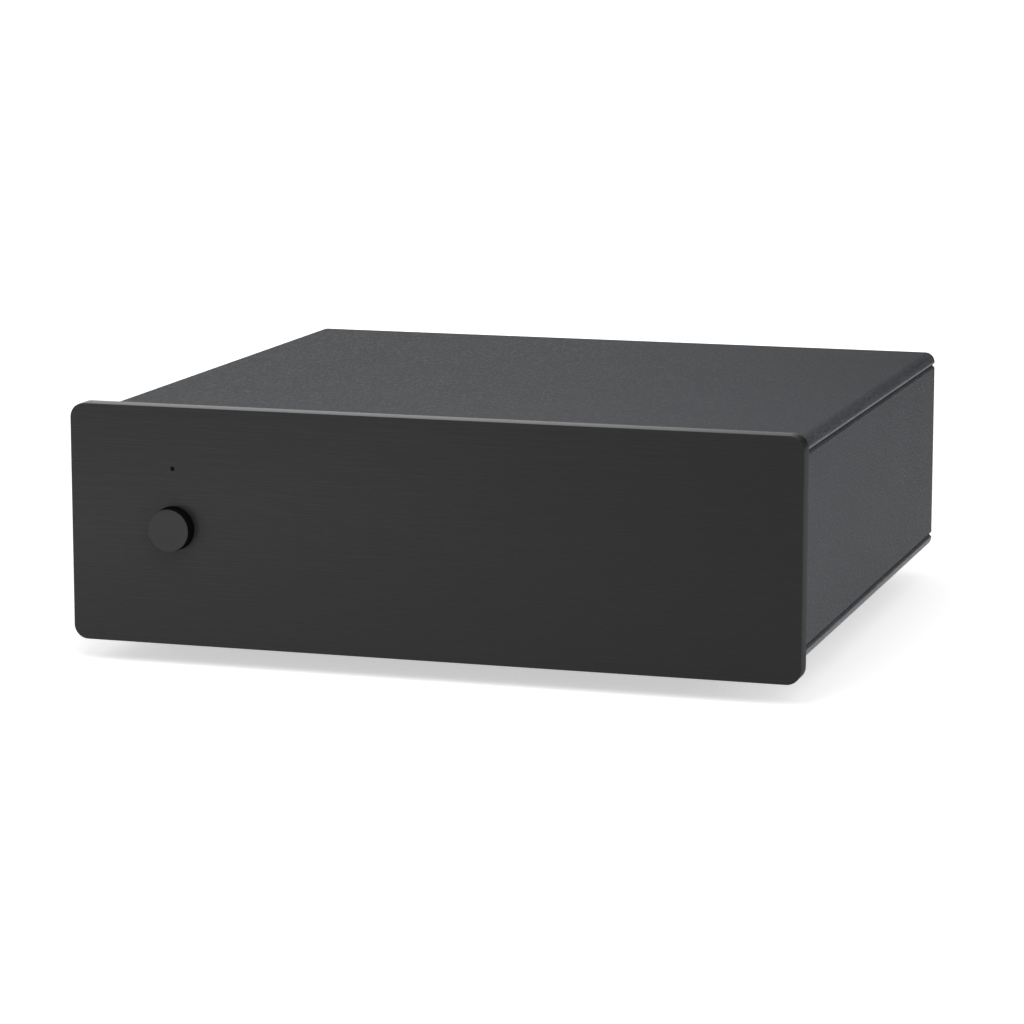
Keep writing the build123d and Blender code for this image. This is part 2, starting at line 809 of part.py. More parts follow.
for socket_name, socket_at_x in socket_names.items():
    with BuildPart() as phono_socket:
        with BuildSketch(upright(rear_face + neck_protrusion, socket_axis)):
            with Locations((socket_at_x, 0)):
                RegularPolygon(neck_radius, plain_round_sides)
        extrude(amount=rear_thickness + neck_protrusion)
        with BuildSketch(upright(rear_inner, socket_axis)):
            with Locations((socket_at_x, 0)):
                RegularPolygon(socket_nut_width / 2, 6, major_radius=False)
        extrude(amount=socket_flange_thickness)
        with BuildSketch(upright(sleeve_end, socket_axis)):
            with Locations((socket_at_x, 0)):
                Circle(sleeve_radius)
        extrude(amount=socket_protrusion - neck_protrusion)
        with BuildSketch(upright(sleeve_end, socket_axis)):
            with Locations((socket_at_x, 0)):
                Circle(insulator_radius)
        extrude(amount=sleeve_end - socket_inner_end, mode=Mode.SUBTRACT)
    phono_socket.part.label = socket_name
    export_step(phono_socket.part, f"parts/{socket_name}.step")

for insulator_name, insulator_x in {
    "socket_insulators_left": (output_x[0], input_x[0]),
    "socket_insulators_right": (output_x[1], input_x[1]),
}.items():
    with BuildPart() as socket_insulators:
        with BuildSketch(upright(sleeve_end - insulator_recess, socket_axis)):
            with Locations(*[(x, 0) for x in insulator_x]):
                RegularPolygon(insulator_radius, plain_round_sides)
                RegularPolygon(contact_radius, small_round_sides, mode=Mode.SUBTRACT)
        extrude(amount=sleeve_end - insulator_recess - socket_inner_end)
    socket_insulators.part.label = insulator_name
    export_step(socket_insulators.part, f"parts/{insulator_name}.step")

with BuildPart() as socket_contacts:
    with BuildSketch(upright(contact_mouth, socket_axis)):
        with Locations(*[(x, 0) for x in socket_x]):
            RegularPolygon(contact_radius, small_round_sides)
    extrude(amount=contact_mouth - socket_inner_end)
    with BuildSketch(upright(contact_mouth, socket_axis)):
        with Locations(*[(x, 0) for x in socket_x]):
            Circle(contact_bore_radius)
    extrude(amount=contact_bore_depth, mode=Mode.SUBTRACT)
    # A flat tail runs inwards from each contact and turns down to the main board.
    with BuildSketch(upright(socket_inner_end, socket_axis)):
        with Locations(*[(x, 0) for x in socket_x]):
            Rectangle(contact_tail_width, contact_tail_thickness)
    extrude(amount=contact_tail_length)
    with BuildSketch(Plane.XY.offset(board_top)):
        with Locations(*[(x, contact_tail_end + contact_tail_thickness / 2) for x in socket_x]):
            Rectangle(contact_tail_width, contact_tail_thickness)
    extrude(amount=socket_axis - board_top)
socket_contacts.part.label = "socket_contacts"
export_step(socket_contacts.part, "parts/socket_contacts.step")

with BuildPart() as socket_nuts:
    with BuildSketch(upright(rear_face + socket_nut_thickness, socket_axis)):
        with Locations(*[(x, 0) for x in socket_x]):
            RegularPolygon(socket_nut_width / 2, 6, major_radius=False)
            RegularPolygon(
                neck_radius + thread_clearance,
                small_round_sides,
                major_radius=False,
                mode=Mode.SUBTRACT,
            )
    extrude(amount=socket_nut_thickness)
socket_nuts.part.label = "socket_nuts"
export_step(socket_nuts.part, "parts/socket_nuts.step")

# ==== Ground terminal

ground_flange_end = rear_face + ground_flange_thickness
ground_washer_end = ground_flange_end + ground_washer_thickness
ground_nut_end = ground_washer_end + ground_nut_length

with BuildPart() as ground_post:
    with BuildSketch(upright(rear_face + ground_post_end, socket_axis)):
        with Locations((ground_x, 0)):
            Circle(ground_post_radius)
    extrude(amount=ground_post_end - ground_flange_thickness)
    with BuildSketch(upright(rear_face, socket_axis)):
        with Locations((ground_x, 0)):
            RegularPolygon(ground_post_radius, small_round_sides)
    extrude(amount=rear_thickness + ground_post_inner)
    with BuildSketch(upright(ground_flange_end, socket_axis)):
        with Locations((ground_x, 0)):
            RegularPolygon(ground_flange_width / 2, 6, major_radius=False)
    extrude(amount=ground_flange_thickness)
ground_post.part.label = "ground_post"
export_step(ground_post.part, "parts/ground_post.step")

with BuildPart() as ground_lock_nut:
    with BuildSketch(upright(rear_inner, socket_axis)):
        with Locations((ground_x, 0)):
            RegularPolygon(lock_nut_width / 2, 6, major_radius=False)
            RegularPolygon(
                ground_post_radius + thread_clearance,
                small_round_sides,
                major_radius=False,
                mode=Mode.SUBTRACT,
            )
    extrude(amount=lock_nut_thickness)
ground_lock_nut.part.label = "ground_lock_nut"
export_step(ground_lock_nut.part, "parts/ground_lock_nut.step")

with BuildPart() as ground_washer:
    with BuildSketch(upright(ground_washer_end, socket_axis)):
        with Locations((ground_x, 0)):
            Circle(ground_washer_radius)
            RegularPolygon(
                ground_post_radius + ground_washer_clearance,
                small_round_sides,
                major_radius=False,
                mode=Mode.SUBTRACT,
            )
    extrude(amount=ground_washer_thickness)
ground_washer.part.label = "ground_washer"
export_step(ground_washer.part, "parts/ground_washer.step")

with BuildPart() as ground_nut:
    with BuildSketch(upright(ground_nut_end, socket_axis)):
        with Locations((ground_x, 0)):
            Circle(ground_nut_radius)
    extrude(amount=ground_nut_length)
    with BuildSketch(upright(ground_nut_end, socket_axis)):
        with Locations((ground_x, 0)):
            RegularPolygon(
                ground_post_radius + ground_nut_clearance, small_round_sides, major_radius=False
            )
            with PolarLocations(ground_nut_radius, ground_nut_grooves):
                Rectangle(ground_nut_groove, ground_nut_groove, rotation=45)
    extrude(amount=ground_nut_length, mode=Mode.SUBTRACT)
ground_nut.part.label = "ground_nut"
export_step(ground_nut.part, "parts/ground_nut.step")

# ==== Power inlet

with BuildPart() as power_inlet:
    with BuildSketch(Plane.XY.offset(board_top)):
        with Locations((inlet_x, rear_inner - inlet_length / 2)):
            Rectangle(inlet_width, inlet_length)
    extrude(amount=inlet_body_height)
    with BuildSketch(upright(rear_face + inlet_nose_protrusion, inlet_axis)):
        with Locations((inlet_x, 0)):
            Circle(inlet_nose_radius)
    extrude(amount=inlet_nose_protrusion + rear_thickness)
    with BuildSketch(upright(rear_face + inlet_nose_protrusion, inlet_axis)):
        with Locations((inlet_x, 0)):
            Circle(inlet_nose_radius - inlet_nose_wall)
    extrude(amount=inlet_mouth_depth, mode=Mode.SUBTRACT)
power_inlet.part.label = "power_inlet"
export_step(power_inlet.part, "parts/power_inlet.step")

with BuildPart() as power_inlet_pin:
    with BuildSketch(upright(rear_face + inlet_nose_protrusion - inlet_pin_recess, inlet_axis)):
        with Locations((inlet_x, 0)):
            Circle(inlet_pin_radius)
    extrude(amount=inlet_mouth_depth - inlet_pin_recess)
power_inlet_pin.part.label = "power_inlet_pin"
export_step(power_inlet_pin.part, "parts/power_inlet_pin.step")

# ==== Setting switches under the case

first_lever = -(lever_count - 1) * lever_pitch / 2
lever_off_y = front_face + bank_depth - lever_travel / 2

for channel, channel_x in {"left": -bank_x, "right": bank_x}.items():
    lever_places = [channel_x + first_lever + n * lever_pitch for n in range(lever_count)]
    with BuildPart() as switch_bank:
        with BuildSketch(Plane.XY.offset(bank_face)):
            with Locations((channel_x, front_face + bank_depth)):
                Rectangle(bank_length, bank_width)
        extrude(amount=board_bottom - bank_face)
        with BuildSketch(Plane.XY.offset(bank_face)):
            with Locations(*[(x, front_face + bank_depth) for x in lever_places]):
                Rectangle(slot_width, slot_length)
        extrude(amount=slot_depth, mode=Mode.SUBTRACT)
    switch_bank.part.label = f"switch_bank_{channel}"
    export_step(switch_bank.part, f"parts/switch_bank_{channel}.step")

    for number, lever_x in enumerate(lever_places, start=1):
        with BuildPart() as lever:
            with BuildSketch(Plane.XY.offset(bank_face - lever_stand)):
                with Locations((lever_x, lever_off_y)):
                    Rectangle(lever_width, lever_length)
            extrude(amount=lever_stand + slot_depth)
        lever.part.label = f"switch_lever_{channel}_{number}"
        export_step(lever.part, f"parts/switch_lever_{channel}_{number}.step")

# ==== Parts on the main board

with BuildPart() as electrolytic_capacitors:
    with BuildSketch(Plane.XY.offset(board_top)):
        with Locations((capacitor_x, front_face + capacitor_depth)):
            with GridLocations(capacitor_pitch, capacitor_pitch, capacitor_columns, capacitor_rows):
                RegularPolygon(capacitor_radius, plain_round_sides)
    extrude(amount=capacitor_height)
electrolytic_capacitors.part.label = "electrolytic_capacitors"
export_step(electrolytic_capacitors.part, "parts/electrolytic_capacitors.step")

with BuildPart() as film_capacitors:
    with BuildSketch(Plane.XY.offset(board_top)):
        with Locations((film_x, front_face + film_depth)):
            with GridLocations(film_pitch, film_pitch, film_columns, film_rows):
                Rectangle(film_width, film_length)
    extrude(amount=film_height)
film_capacitors.part.label = "film_capacitors"
export_step(film_capacitors.part, "parts/film_capacitors.step")

film_front = front_face + film_depth - ((film_rows - 1) * film_pitch + film_length) / 2
chip_middle = film_front - chip_gap - ((chip_rows - 1) * chip_pitch + chip_width) / 2
with BuildPart() as amplifier_chips:
    with BuildSketch(Plane.XY.offset(board_top)):
        with Locations((film_x, chip_middle)):
            with GridLocations(chip_pitch, chip_pitch, chip_columns, chip_rows):
                Rectangle(chip_length, chip_width)
    extrude(amount=chip_height)
amplifier_chips.part.label = "amplifier_chips"
export_step(amplifier_chips.part, "parts/amplifier_chips.step")

regulator_first = regulator_from_side - board_half_width
regulator_x = (regulator_first, regulator_first + regulator_pitch)
regulator_back = front_face + regulator_depth
regulator_base = board_top + regulator_leg_height
with BuildPart() as voltage_regulators:
    with BuildSketch(upright(regulator_back, regulator_base)):
        with Locations(*[(x, regulator_body_height / 2) for x in regulator_x]):
            Rectangle(regulator_width, regulator_body_height)
    extrude(amount=regulator_body_thickness)
    with BuildSketch(upright(regulator_back, regulator_base)):
        with Locations(*[(x, regulator_tab_height / 2) for x in regulator_x]):
            Rectangle(regulator_width, regulator_tab_height)
        tab_hole_rise = (regulator_body_height + regulator_tab_height) / 2
        with Locations(*[(x, tab_hole_rise) for x in regulator_x]):
            RegularPolygon(regulator_hole_radius, small_round_sides, mode=Mode.SUBTRACT)
    extrude(amount=regulator_tab_thickness)
    with BuildSketch(Plane.XY.offset(board_top)):
        with Locations(*[(x, regulator_back - regulator_body_thickness / 2) for x in regulator_x]):
            with GridLocations(regulator_leg_pitch, 0, regulator_legs, 1):
                Rectangle(regulator_leg_width, regulator_leg_width)
    extrude(amount=regulator_leg_height)
voltage_regulators.part.label = "voltage_regulators"
export_step(voltage_regulators.part, "parts/voltage_regulators.step")

# ==== Ribbon cable, with its two plugs

ribbon_upper = body_middle - front_board_drop + ribbon_plug_rise
ribbon_lower_y = front_face + ribbon_lower_depth
plug_upper_back = front_board_back + ribbon_plug_length
plug_lower_top = board_top + ribbon_plug_height
with BuildPart() as ribbon_cable:
    with BuildSketch(Plane.YZ.offset(button_x - ribbon_width / 2)):
        with BuildLine() as ribbon_path:
            FilletPolyline(
                (plug_upper_back, ribbon_upper),
                (ribbon_lower_y, ribbon_upper),
                (ribbon_lower_y, plug_lower_top),
                radius=ribbon_bend,
            )
            offset(amount=ribbon_thickness / 2, side=Side.BOTH)
        make_face()
    extrude(amount=ribbon_width)
    with BuildSketch(upright(plug_upper_back, ribbon_upper)):
        with Locations((button_x, 0)):
            Rectangle(ribbon_plug_width, ribbon_plug_height)
    extrude(amount=ribbon_plug_length)
    with BuildSketch(Plane.XY.offset(board_top)):
        with Locations((button_x, ribbon_lower_y)):
            Rectangle(ribbon_plug_width, ribbon_plug_length)
    extrude(amount=ribbon_plug_height)
ribbon_cable.part.label = "ribbon_cable"
export_step(ribbon_cable.part, "parts/ribbon_cable.step")
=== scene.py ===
import logging
import math
from dataclasses import dataclass
from enum import Enum
from typing import Any, Callable, Optional, Sequence

import bmesh
import bpy
import numpy as np
from mathutils import Matrix, Vector
from mathutils.geometry import tessellate_polygon


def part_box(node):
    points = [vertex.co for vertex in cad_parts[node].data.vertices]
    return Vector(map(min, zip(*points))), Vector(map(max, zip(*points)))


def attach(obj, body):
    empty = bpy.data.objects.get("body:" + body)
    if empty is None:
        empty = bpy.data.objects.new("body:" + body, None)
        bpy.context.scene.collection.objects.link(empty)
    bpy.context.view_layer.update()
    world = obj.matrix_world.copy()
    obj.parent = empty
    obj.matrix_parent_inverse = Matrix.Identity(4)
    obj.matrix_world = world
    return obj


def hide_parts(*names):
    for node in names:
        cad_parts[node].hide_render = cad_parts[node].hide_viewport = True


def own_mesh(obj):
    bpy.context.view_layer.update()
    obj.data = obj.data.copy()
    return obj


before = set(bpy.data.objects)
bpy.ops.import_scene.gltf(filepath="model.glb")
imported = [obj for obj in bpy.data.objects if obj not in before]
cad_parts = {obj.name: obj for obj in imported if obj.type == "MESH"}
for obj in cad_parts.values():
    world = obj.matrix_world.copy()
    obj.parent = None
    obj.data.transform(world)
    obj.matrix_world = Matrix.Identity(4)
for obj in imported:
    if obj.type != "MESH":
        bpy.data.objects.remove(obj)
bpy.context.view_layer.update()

# A phono preamplifier in a low black case. The front panel is brushed and anodised, the case
# behind it is made of blasted and anodised extrusions, and sockets, switches and screws are
# plated or moulded. Lengths are in metres, written as millimetres times MM.

MM = 0.001
MERGE_DISTANCE = 0.0005 * MM
SHARP_ANGLE = math.radians(32)
AROUND = 72  # steps round a turned piece, a multiple of 12 so that hexagons keep their corners
TURNED_DOWN = 0.97  # of a hexagon's flats, the radius that its corners end on
WAVE_FACTOR = 20  # by which the wave texture multiplies its coordinates
PATCH_SHARE = 0.15  # of the blend between a finish's two colours, which its slow patches take
WHITE = "#ffffff"

log = logging.getLogger("phono_preamp")

Grid = np.ndarray
Place = Sequence[float]
Solid = tuple[Grid, list[Sequence[int]]]


def middle(node: str) -> Vector:
    """The middle of a CAD node's box."""
    low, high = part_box(node)
    return (low + high) / 2


# ---- Finishes

class Pattern(Enum):
    """How a surface was worked, which decides the pattern that its texture follows."""

    GRAIN = "grain"
    LINES = "lines"  # grain that the finish's scale draws out along one axis
    RINGS = "rings"
    TRACKS = "tracks"


def linear(hex_colour: str) -> tuple[float, float, float, float]:
    """Turns an sRGB colour into the linear one that a shader takes.

    Args:
        hex_colour: The colour, such as "#2b2c2e".

    Returns:
        Red, green, blue and an alpha of 1.
    """
    values = [int(hex_colour[i:i + 2], 16) / 255 for i in (1, 3, 5)]
    parts = [v / 12.92 if v <= 0.04045 else ((v + 0.055) / 1.055) ** 2.4 for v in values]
    return (parts[0], parts[1], parts[2], 1.0)


def add_node(
    tree: bpy.types.NodeTree,
    kind: str,
    inputs: Optional[dict[Any, Any]] = None,
    **settings: Any,
) -> bpy.types.Node:
    """Adds a node with its settings, values and links.

    Args:
        tree: The node tree.
        kind: The node's type name.
        inputs: For each input's name or number a value, or the output socket linked to it.
        settings: Attributes of the node itself.

    Returns:
        The new node.
    """
    node = tree.nodes.new(kind)
    for name, value in settings.items():
        setattr(node, name, value)
    for key, value in (inputs or {}).items():
        if isinstance(value, bpy.types.NodeSocket):
            tree.links.new(value, node.inputs[key])
        else:
            node.inputs[key].default_value = value
    return node


def cleared_tree(owner: bpy.types.ID) -> bpy.types.NodeTree:
    """Empties the node tree of a material or a world.

    Args:
        owner: The material or world.

    Returns:
        Its node tree, without nodes.
    """
    owner.use_nodes = True
    owner.node_tree.nodes.clear()
    return owner.node_tree


def even(size: float) -> tuple[float, float, float]:
    """Marks of one size in millimetres along all three axes."""
    return (size * MM, size * MM, size * MM)


@dataclass(frozen=True)
class Finish:
    """One finish: what the surface is made of and how it was worked.

    `scale` is the size of the pattern's marks along X, Y and Z, `relief` their depth, and
    `spread` how far roughness varies with them. `patch` is the size of the slow, faint
    variation that any real surface has.
    """

    name: str
    colour: str
    accent: str
    metallic: float = 0.0
    roughness: float = 0.5
    spread: float = 0.1
    specular: float = 0.5
    pattern: Pattern = Pattern.GRAIN
    scale: tuple[float, float, float] = even(0.4)
    relief: float = 0.01 * MM
    patch: float = 18.0 * MM
    coat: float = 0.0
    transmission: float = 0.0
    centre: tuple[float, float, float] = (0.0, 0.0, 0.0)

    def marks(self, tree: bpy.types.NodeTree, place: bpy.types.NodeSocket) -> bpy.types.NodeSocket:
        """Adds the fine pattern.

        Args:
            tree: The material's node tree.
            place: The socket with the Object coordinates.

        Returns:
            A socket that runs from 0 to 1.
        """
        if self.pattern is Pattern.RINGS:
            centred = add_node(tree, "ShaderNodeMapping", {
                "Vector": place, "Location": [-v for v in self.centre],
            })
            rings = add_node(tree, "ShaderNodeTexWave", {
                "Vector": centred.outputs[0],
                "Scale": math.tau / (WAVE_FACTOR * self.scale[0]),
                "Distortion": 1.5,
                "Detail": 2.0,
                "Detail Scale": 0.4,
            }, wave_type="RINGS", rings_direction="Y")
            return rings.outputs["Fac"]
        sized = add_node(tree, "ShaderNodeMapping", {
            "Vector": place, "Scale": [1 / v for v in self.scale],
        })
        if self.pattern is Pattern.TRACKS:
            tracks = add_node(tree, "ShaderNodeTexBrick", {
                "Vector": sized.outputs[0], "Scale": 1.0, "Mortar Size": 0.09,
                "Color1": (1.0, 1.0, 1.0, 1.0), "Color2": (0.8, 0.8, 0.8, 1.0),
                "Mortar": (0.0, 0.0, 0.0, 1.0),
            })
            return tracks.outputs["Color"]
        grain = add_node(tree, "ShaderNodeTexNoise", {
            "Vector": sized.outputs[0], "Scale": 1.0, "Detail": 1.5, "Roughness": 0.6,
        })
        clear = add_node(tree, "ShaderNodeMapRange", {
            "Value": grain.outputs["Fac"], "From Min": 0.33, "From Max": 0.67,
        })
        return clear.outputs["Result"]

    def material(self) -> bpy.types.Material:
        """Builds the material once, and hands back the same one afterwards.

        Returns:
            The material.
        """
        found = bpy.data.materials.get(self.name)
        if found:
            return found
        made = bpy.data.materials.new(self.name)
        tree = cleared_tree(made)
        place = add_node(tree, "ShaderNodeTexCoord").outputs["Object"]
        marks = self.marks(tree, place)
        patch = add_node(tree, "ShaderNodeTexNoise", {
            "Vector": place, "Scale": 1 / self.patch, "Detail": 1.0,
        })
        slow = add_node(tree, "ShaderNodeMath", {
            0: patch.outputs["Fac"], 1: PATCH_SHARE,
        }, operation="MULTIPLY")
        blend = add_node(tree, "ShaderNodeMath", {
            0: marks, 1: 1 - PATCH_SHARE, 2: slow.outputs[0],
        }, operation="MULTIPLY_ADD")
        colour = add_node(tree, "ShaderNodeMix", {
            "Factor": blend.outputs[0],
        }, data_type="RGBA")
        colour_sockets = [s for s in colour.inputs if s.type == "RGBA"]
        colour_sockets[0].default_value = linear(self.colour)
        colour_sockets[1].default_value = linear(self.accent)
        rough = add_node(tree, "ShaderNodeMapRange", {
            "Value": marks,
            "To Min": self.roughness - self.spread / 2,
            "To Max": self.roughness + self.spread / 2,
        })
        bump = add_node(tree, "ShaderNodeBump", {
            "Height": marks, "Strength": 1.0, "Distance": self.relief,
        })
        shader = add_node(tree, "ShaderNodeBsdfPrincipled", {
            "Base Color": next(s for s in colour.outputs if s.type == "RGBA"),
            "Roughness": rough.outputs["Result"],
            "Normal": bump.outputs["Normal"],
            "Metallic": self.metallic,
            "Specular IOR Level": self.specular,
            "Coat Weight": self.coat,
            "Transmission Weight": self.transmission,
        })
        add_node(tree, "ShaderNodeOutputMaterial", {"Surface": shader.outputs[0]})
        return made


# Black anodised aluminium, brushed along X: a dark dyed oxide over fine lines, so it is matt
# from the front and turns pale grey where the light grazes it.
BRUSHED_FRONT = Finish(
    "brushed_anodised_front", "#252525", "#272727", roughness=0.27, spread=0.03, specular=0.1,
    pattern=Pattern.LINES, scale=(24.0 * MM, 0.22 * MM, 0.22 * MM), relief=0.0015 * MM,
)
# Black anodised aluminium, bead blasted: fine even pits that scatter the light, so it looks a
# shade paler and softer than the brushed front. Real pits are about 0.1 mm. They are drawn
# coarser to show, and longer along the case, whose top and side are seen at a flat angle.
BLASTED_CASE = Finish(
    "blasted_anodised_case", "#2d2e30", "#4f5155", roughness=0.55, spread=0.35, specular=0.03,
    scale=(0.5 * MM, 1.6 * MM, 0.5 * MM), relief=0.05 * MM,
)
# The same blast on the side panels, which face the light more squarely than the covers do, so
# the pits glint less and are drawn deeper to show as a speckle.
BLASTED_SIDE = Finish(
    "blasted_anodised_side", "#2d2e30", "#4f5155", roughness=0.55, spread=0.4, specular=0.03,
    scale=(0.5 * MM, 1.6 * MM, 0.5 * MM), relief=0.08 * MM,
)
# The same oxide on the lips' outsides by both seams, a little glossier and painted paler: a
# painted highlight, where these strips catch the light from the floor beside them.
EDGE_PAINTED_SHEEN = Finish(
    "burnished_anodised_edge", "#333539", "#53565b", roughness=0.42, spread=0.2, specular=0.13,
    scale=(0.7 * MM, 1.3 * MM, 0.7 * MM), relief=0.02 * MM,
)
# Milled and anodised, as the front panel's ends and the sub-plate behind it are: dull, and a shade
# darker than the brushed front. On the panel's ends that darker colour is painted shade, which
# keeps them dark beside the case.
DARK_MILLED_AND_PAINTED_SHADE = Finish(
    "milled_anodised_rim", "#1d1d1e", "#242425", roughness=0.5, spread=0.06, specular=0.03,
    scale=even(0.3), relief=0.002 * MM,
)
# Black anodised aluminium, faced on a lathe: rings so fine that they only soften the gloss.
TURNED_BUTTON = Finish(
    "turned_anodised_button", "#252525", "#2e2e2e", roughness=0.26, spread=0.10, specular=0.1,
    pattern=Pattern.RINGS, scale=even(0.3), relief=0.003 * MM,
    centre=(-73.0 * MM, 0.0, 38.5 * MM),
)
# The same oxide on the button's flank, painted deep and flat black: painted shade, where the
# flank turns away from the light.
FLANK_PAINTED_SHADE = Finish(
    "deep_black_oxide", "#060606", "#0a0a0a", roughness=0.5, spread=0.06, specular=0.05,
    scale=even(0.3), relief=0.002 * MM,
)
# Steel with black oxide: nearly black, with an oily half gloss.
BLACK_OXIDE_STEEL = Finish(
    "black_oxide_steel", "#18191b", "#242528", metallic=0.6, roughness=0.38, spread=0.14,
    scale=even(0.3), relief=0.004 * MM,
)
# Zinc plated steel: bright bluish grey with a fine crystal mottle.
ZINC_STEEL = Finish(
    "zinc_plated_steel", "#a9adb3", "#c0c4c8", metallic=1.0, roughness=0.34, spread=0.16,
    scale=even(0.5), relief=0.003 * MM,
)
# Gold over nickel on turned brass: a warm mirror softened by the lathe's marks.
GOLD_PLATE = Finish(
    "gold_plate", "#d8a645", "#e6ba5e", metallic=1.0, roughness=0.22, spread=0.10,
    scale=even(0.25), relief=0.001 * MM,
)
# Nickel plated brass: a slightly yellow silver, quite bright.
NICKEL_PLATE = Finish(
    "nickel_plate", "#b8b3a6", "#cbc7bb", metallic=1.0, roughness=0.2, spread=0.1,
    scale=even(0.3), relief=0.001 * MM,
)
# Vulcanised rubber with a little chalk in it: dull black, faintly dusty.
RUBBER = Finish(
    "rubber", "#17171a", "#232326", roughness=0.78, spread=0.12, specular=0.35,
    scale=even(0.5), relief=0.02 * MM,
)
# Acetal, moulded: solid white with a waxy half gloss.
WHITE_ACETAL = Finish(
    "white_acetal", "#dededa", "#e8e8e4", roughness=0.4, spread=0.06,
    scale=even(0.6), relief=0.004 * MM,
)
# The same in red, which marks the right channel.
RED_ACETAL = Finish(
    "red_acetal", "#a3201d", "#b52a24", roughness=0.4, spread=0.06,
    scale=even(0.6), relief=0.004 * MM,
)
# Glass-filled nylon in black: matt, with the mould's fine spark-eroded grain.
BLACK_NYLON = Finish(
    "black_nylon", "#1a1a1c", "#242426", roughness=0.55, spread=0.12,
    scale=even(0.35), relief=0.01 * MM,
)
# Acrylic, moulded clear: a glossy light pipe.
CLEAR_ACRYLIC = Finish(
    "clear_acrylic", "#dfe3e6", "#e9ecee", roughness=0.12, spread=0.04, transmission=0.9,
    scale=even(0.8), relief=0.001 * MM,
)
# Acrylic, moulded in a smoky black: the lamp behind it doesn't show while it is off.
SMOKED_ACRYLIC = Finish(
    "smoked_acrylic", "#060607", "#0a0a0b", roughness=0.3, spread=0.04, specular=0.06,
    scale=even(0.8), relief=0.001 * MM,
)
# Glass-fibre laminate with dark green solder mask: glossy, with copper tracks a shade paler
# under it.
BOARD_LAMINATE = Finish(
    "board_laminate", "#14201a", "#1d2e25", roughness=0.32, spread=0.1, coat=0.3,
    pattern=Pattern.TRACKS, scale=(4.2 * MM, 1.3 * MM, 1.3 * MM), relief=0.02 * MM,
)
# Polyester in blue, the body of a bank of setting switches: moulded, satin.
BLUE_POLYESTER = Finish(
    "blue_polyester", "#1d4f8c", "#245a98", roughness=0.42, spread=0.08,
    scale=even(0.4), relief=0.004 * MM,
)
# Shrunk plastic sleeve on a capacitor: dark blue and shiny, with faint ripples.
SHRINK_SLEEVE = Finish(
    "shrink_sleeve", "#1a2236", "#222c44", roughness=0.25, spread=0.08, coat=0.2,
    scale=(3.0 * MM, 3.0 * MM, 6.0 * MM), relief=0.02 * MM,
)
# Film capacitor's box: red moulded polyester.
RED_POLYESTER = Finish(
    "red_polyester", "#a03324", "#ad3d2c", roughness=0.36, spread=0.08,
    scale=even(0.5), relief=0.004 * MM,
)
# Ribbon cable's PVC: pale grey, ribbed along its wires.
RIBBON_PVC = Finish(
    "ribbon_pvc", "#8d9094", "#a2a5a9", roughness=0.5, spread=0.08,
    pattern=Pattern.LINES, scale=(0.6 * MM, 9.0 * MM, 9.0 * MM), relief=0.1 * MM,
)
# White ink, pad printed.
WHITE_INK = Finish(
    "white_ink", "#d6d6d2", "#dededa", roughness=0.55, spread=0.06,
    scale=even(0.3), relief=0.002 * MM,
)


# ---- Shapes

def unit(vectors: Grid) -> Grid:
    """Scales each row to length 1."""
    return vectors / np.linalg.norm(vectors, axis=-1, keepdims=True)


def rounded_path(
    corners: Sequence[Place], radii: Any, steps: int = 6, closed: bool = True,
) -> Grid:
    """Rounds the corners of a flat path.

    With u and v the unit vectors from a corner to its neighbours and a half the angle between
    them, the arc's centre lies radius / sin a from the corner along u + v, and the arc's points
    turn about it from one tangent point to the other.

    Args:
        corners: The path's corners, two numbers each.
        radii: One radius for all corners, or one for each rounded corner.
        steps: Steps in each arc.
        closed: Whether the last corner joins the first. An open path's ends stay sharp.

    Returns:
        The path's points, one a row.
    """
    points = np.asarray(corners, float)
    here = points if closed else points[1:-1]
    back = np.roll(points, 1, 0) if closed else points[:-2]
    ahead = np.roll(points, -1, 0) if closed else points[2:]
    u, v = unit(back - here), unit(ahead - here)
    half = 0.5 * np.arccos(np.clip((u * v).sum(1), -1, 1))
    radius = np.broadcast_to(np.asarray(radii, float), half.shape)
    centre = here + unit(u + v) * (radius / np.sin(half))[:, None]
    reach = (radius / np.tan(half))[:, None]
    start, end = here + u * reach - centre, here + v * reach - centre
    sweep = (math.pi - 2 * half)[:, None]
    t = np.linspace(0, 1, steps + 1)[None, :]
    arcs = (
        np.sin((1 - t) * sweep)[..., None] * start[:, None]
        + np.sin(t * sweep)[..., None] * end[:, None]
    ) / np.sin(sweep)[..., None]
    path = (centre[:, None] + arcs).reshape(-1, 2)
    return path if closed else np.concatenate([points[:1], path, points[-1:]])


def rounded_rectangle(width: float, height: float, radius: float, steps: int = 12) -> Grid:
    """A rectangle with round corners, centred on the origin."""
    x, z = width / 2, height / 2
    return rounded_path([(-x, -z), (x, -z), (x, z), (-x, z)], radius, steps)


def circle(centre: Place, radius: float, steps: int = AROUND) -> Grid:
    """A circle's points, two numbers each."""
    angle = np.arange(steps) * math.tau / steps
    return np.stack([np.cos(angle), np.sin(angle)], 1) * radius + np.asarray(centre, float)


def strip_faces(rings: int, around: int, closed: bool = False) -> Grid:
    """Quads between rings of points that are stored one after the other.

    Args:
        rings: Number of rings.
        around: Points in each ring, which closes on itself.
        closed: Whether the last ring joins the first.

    Returns:
        Four point numbers a row.
    """
    row = np.arange(rings if closed else rings - 1)[:, None]
    step = np.arange(around)[None, :]
    here, above = row * around, (row + 1) % rings * around
    ahead = (step + 1) % around
    quads = np.stack([here + step, here + ahead, above + ahead, above + step], -1)
    return quads.reshape(-1, 4)


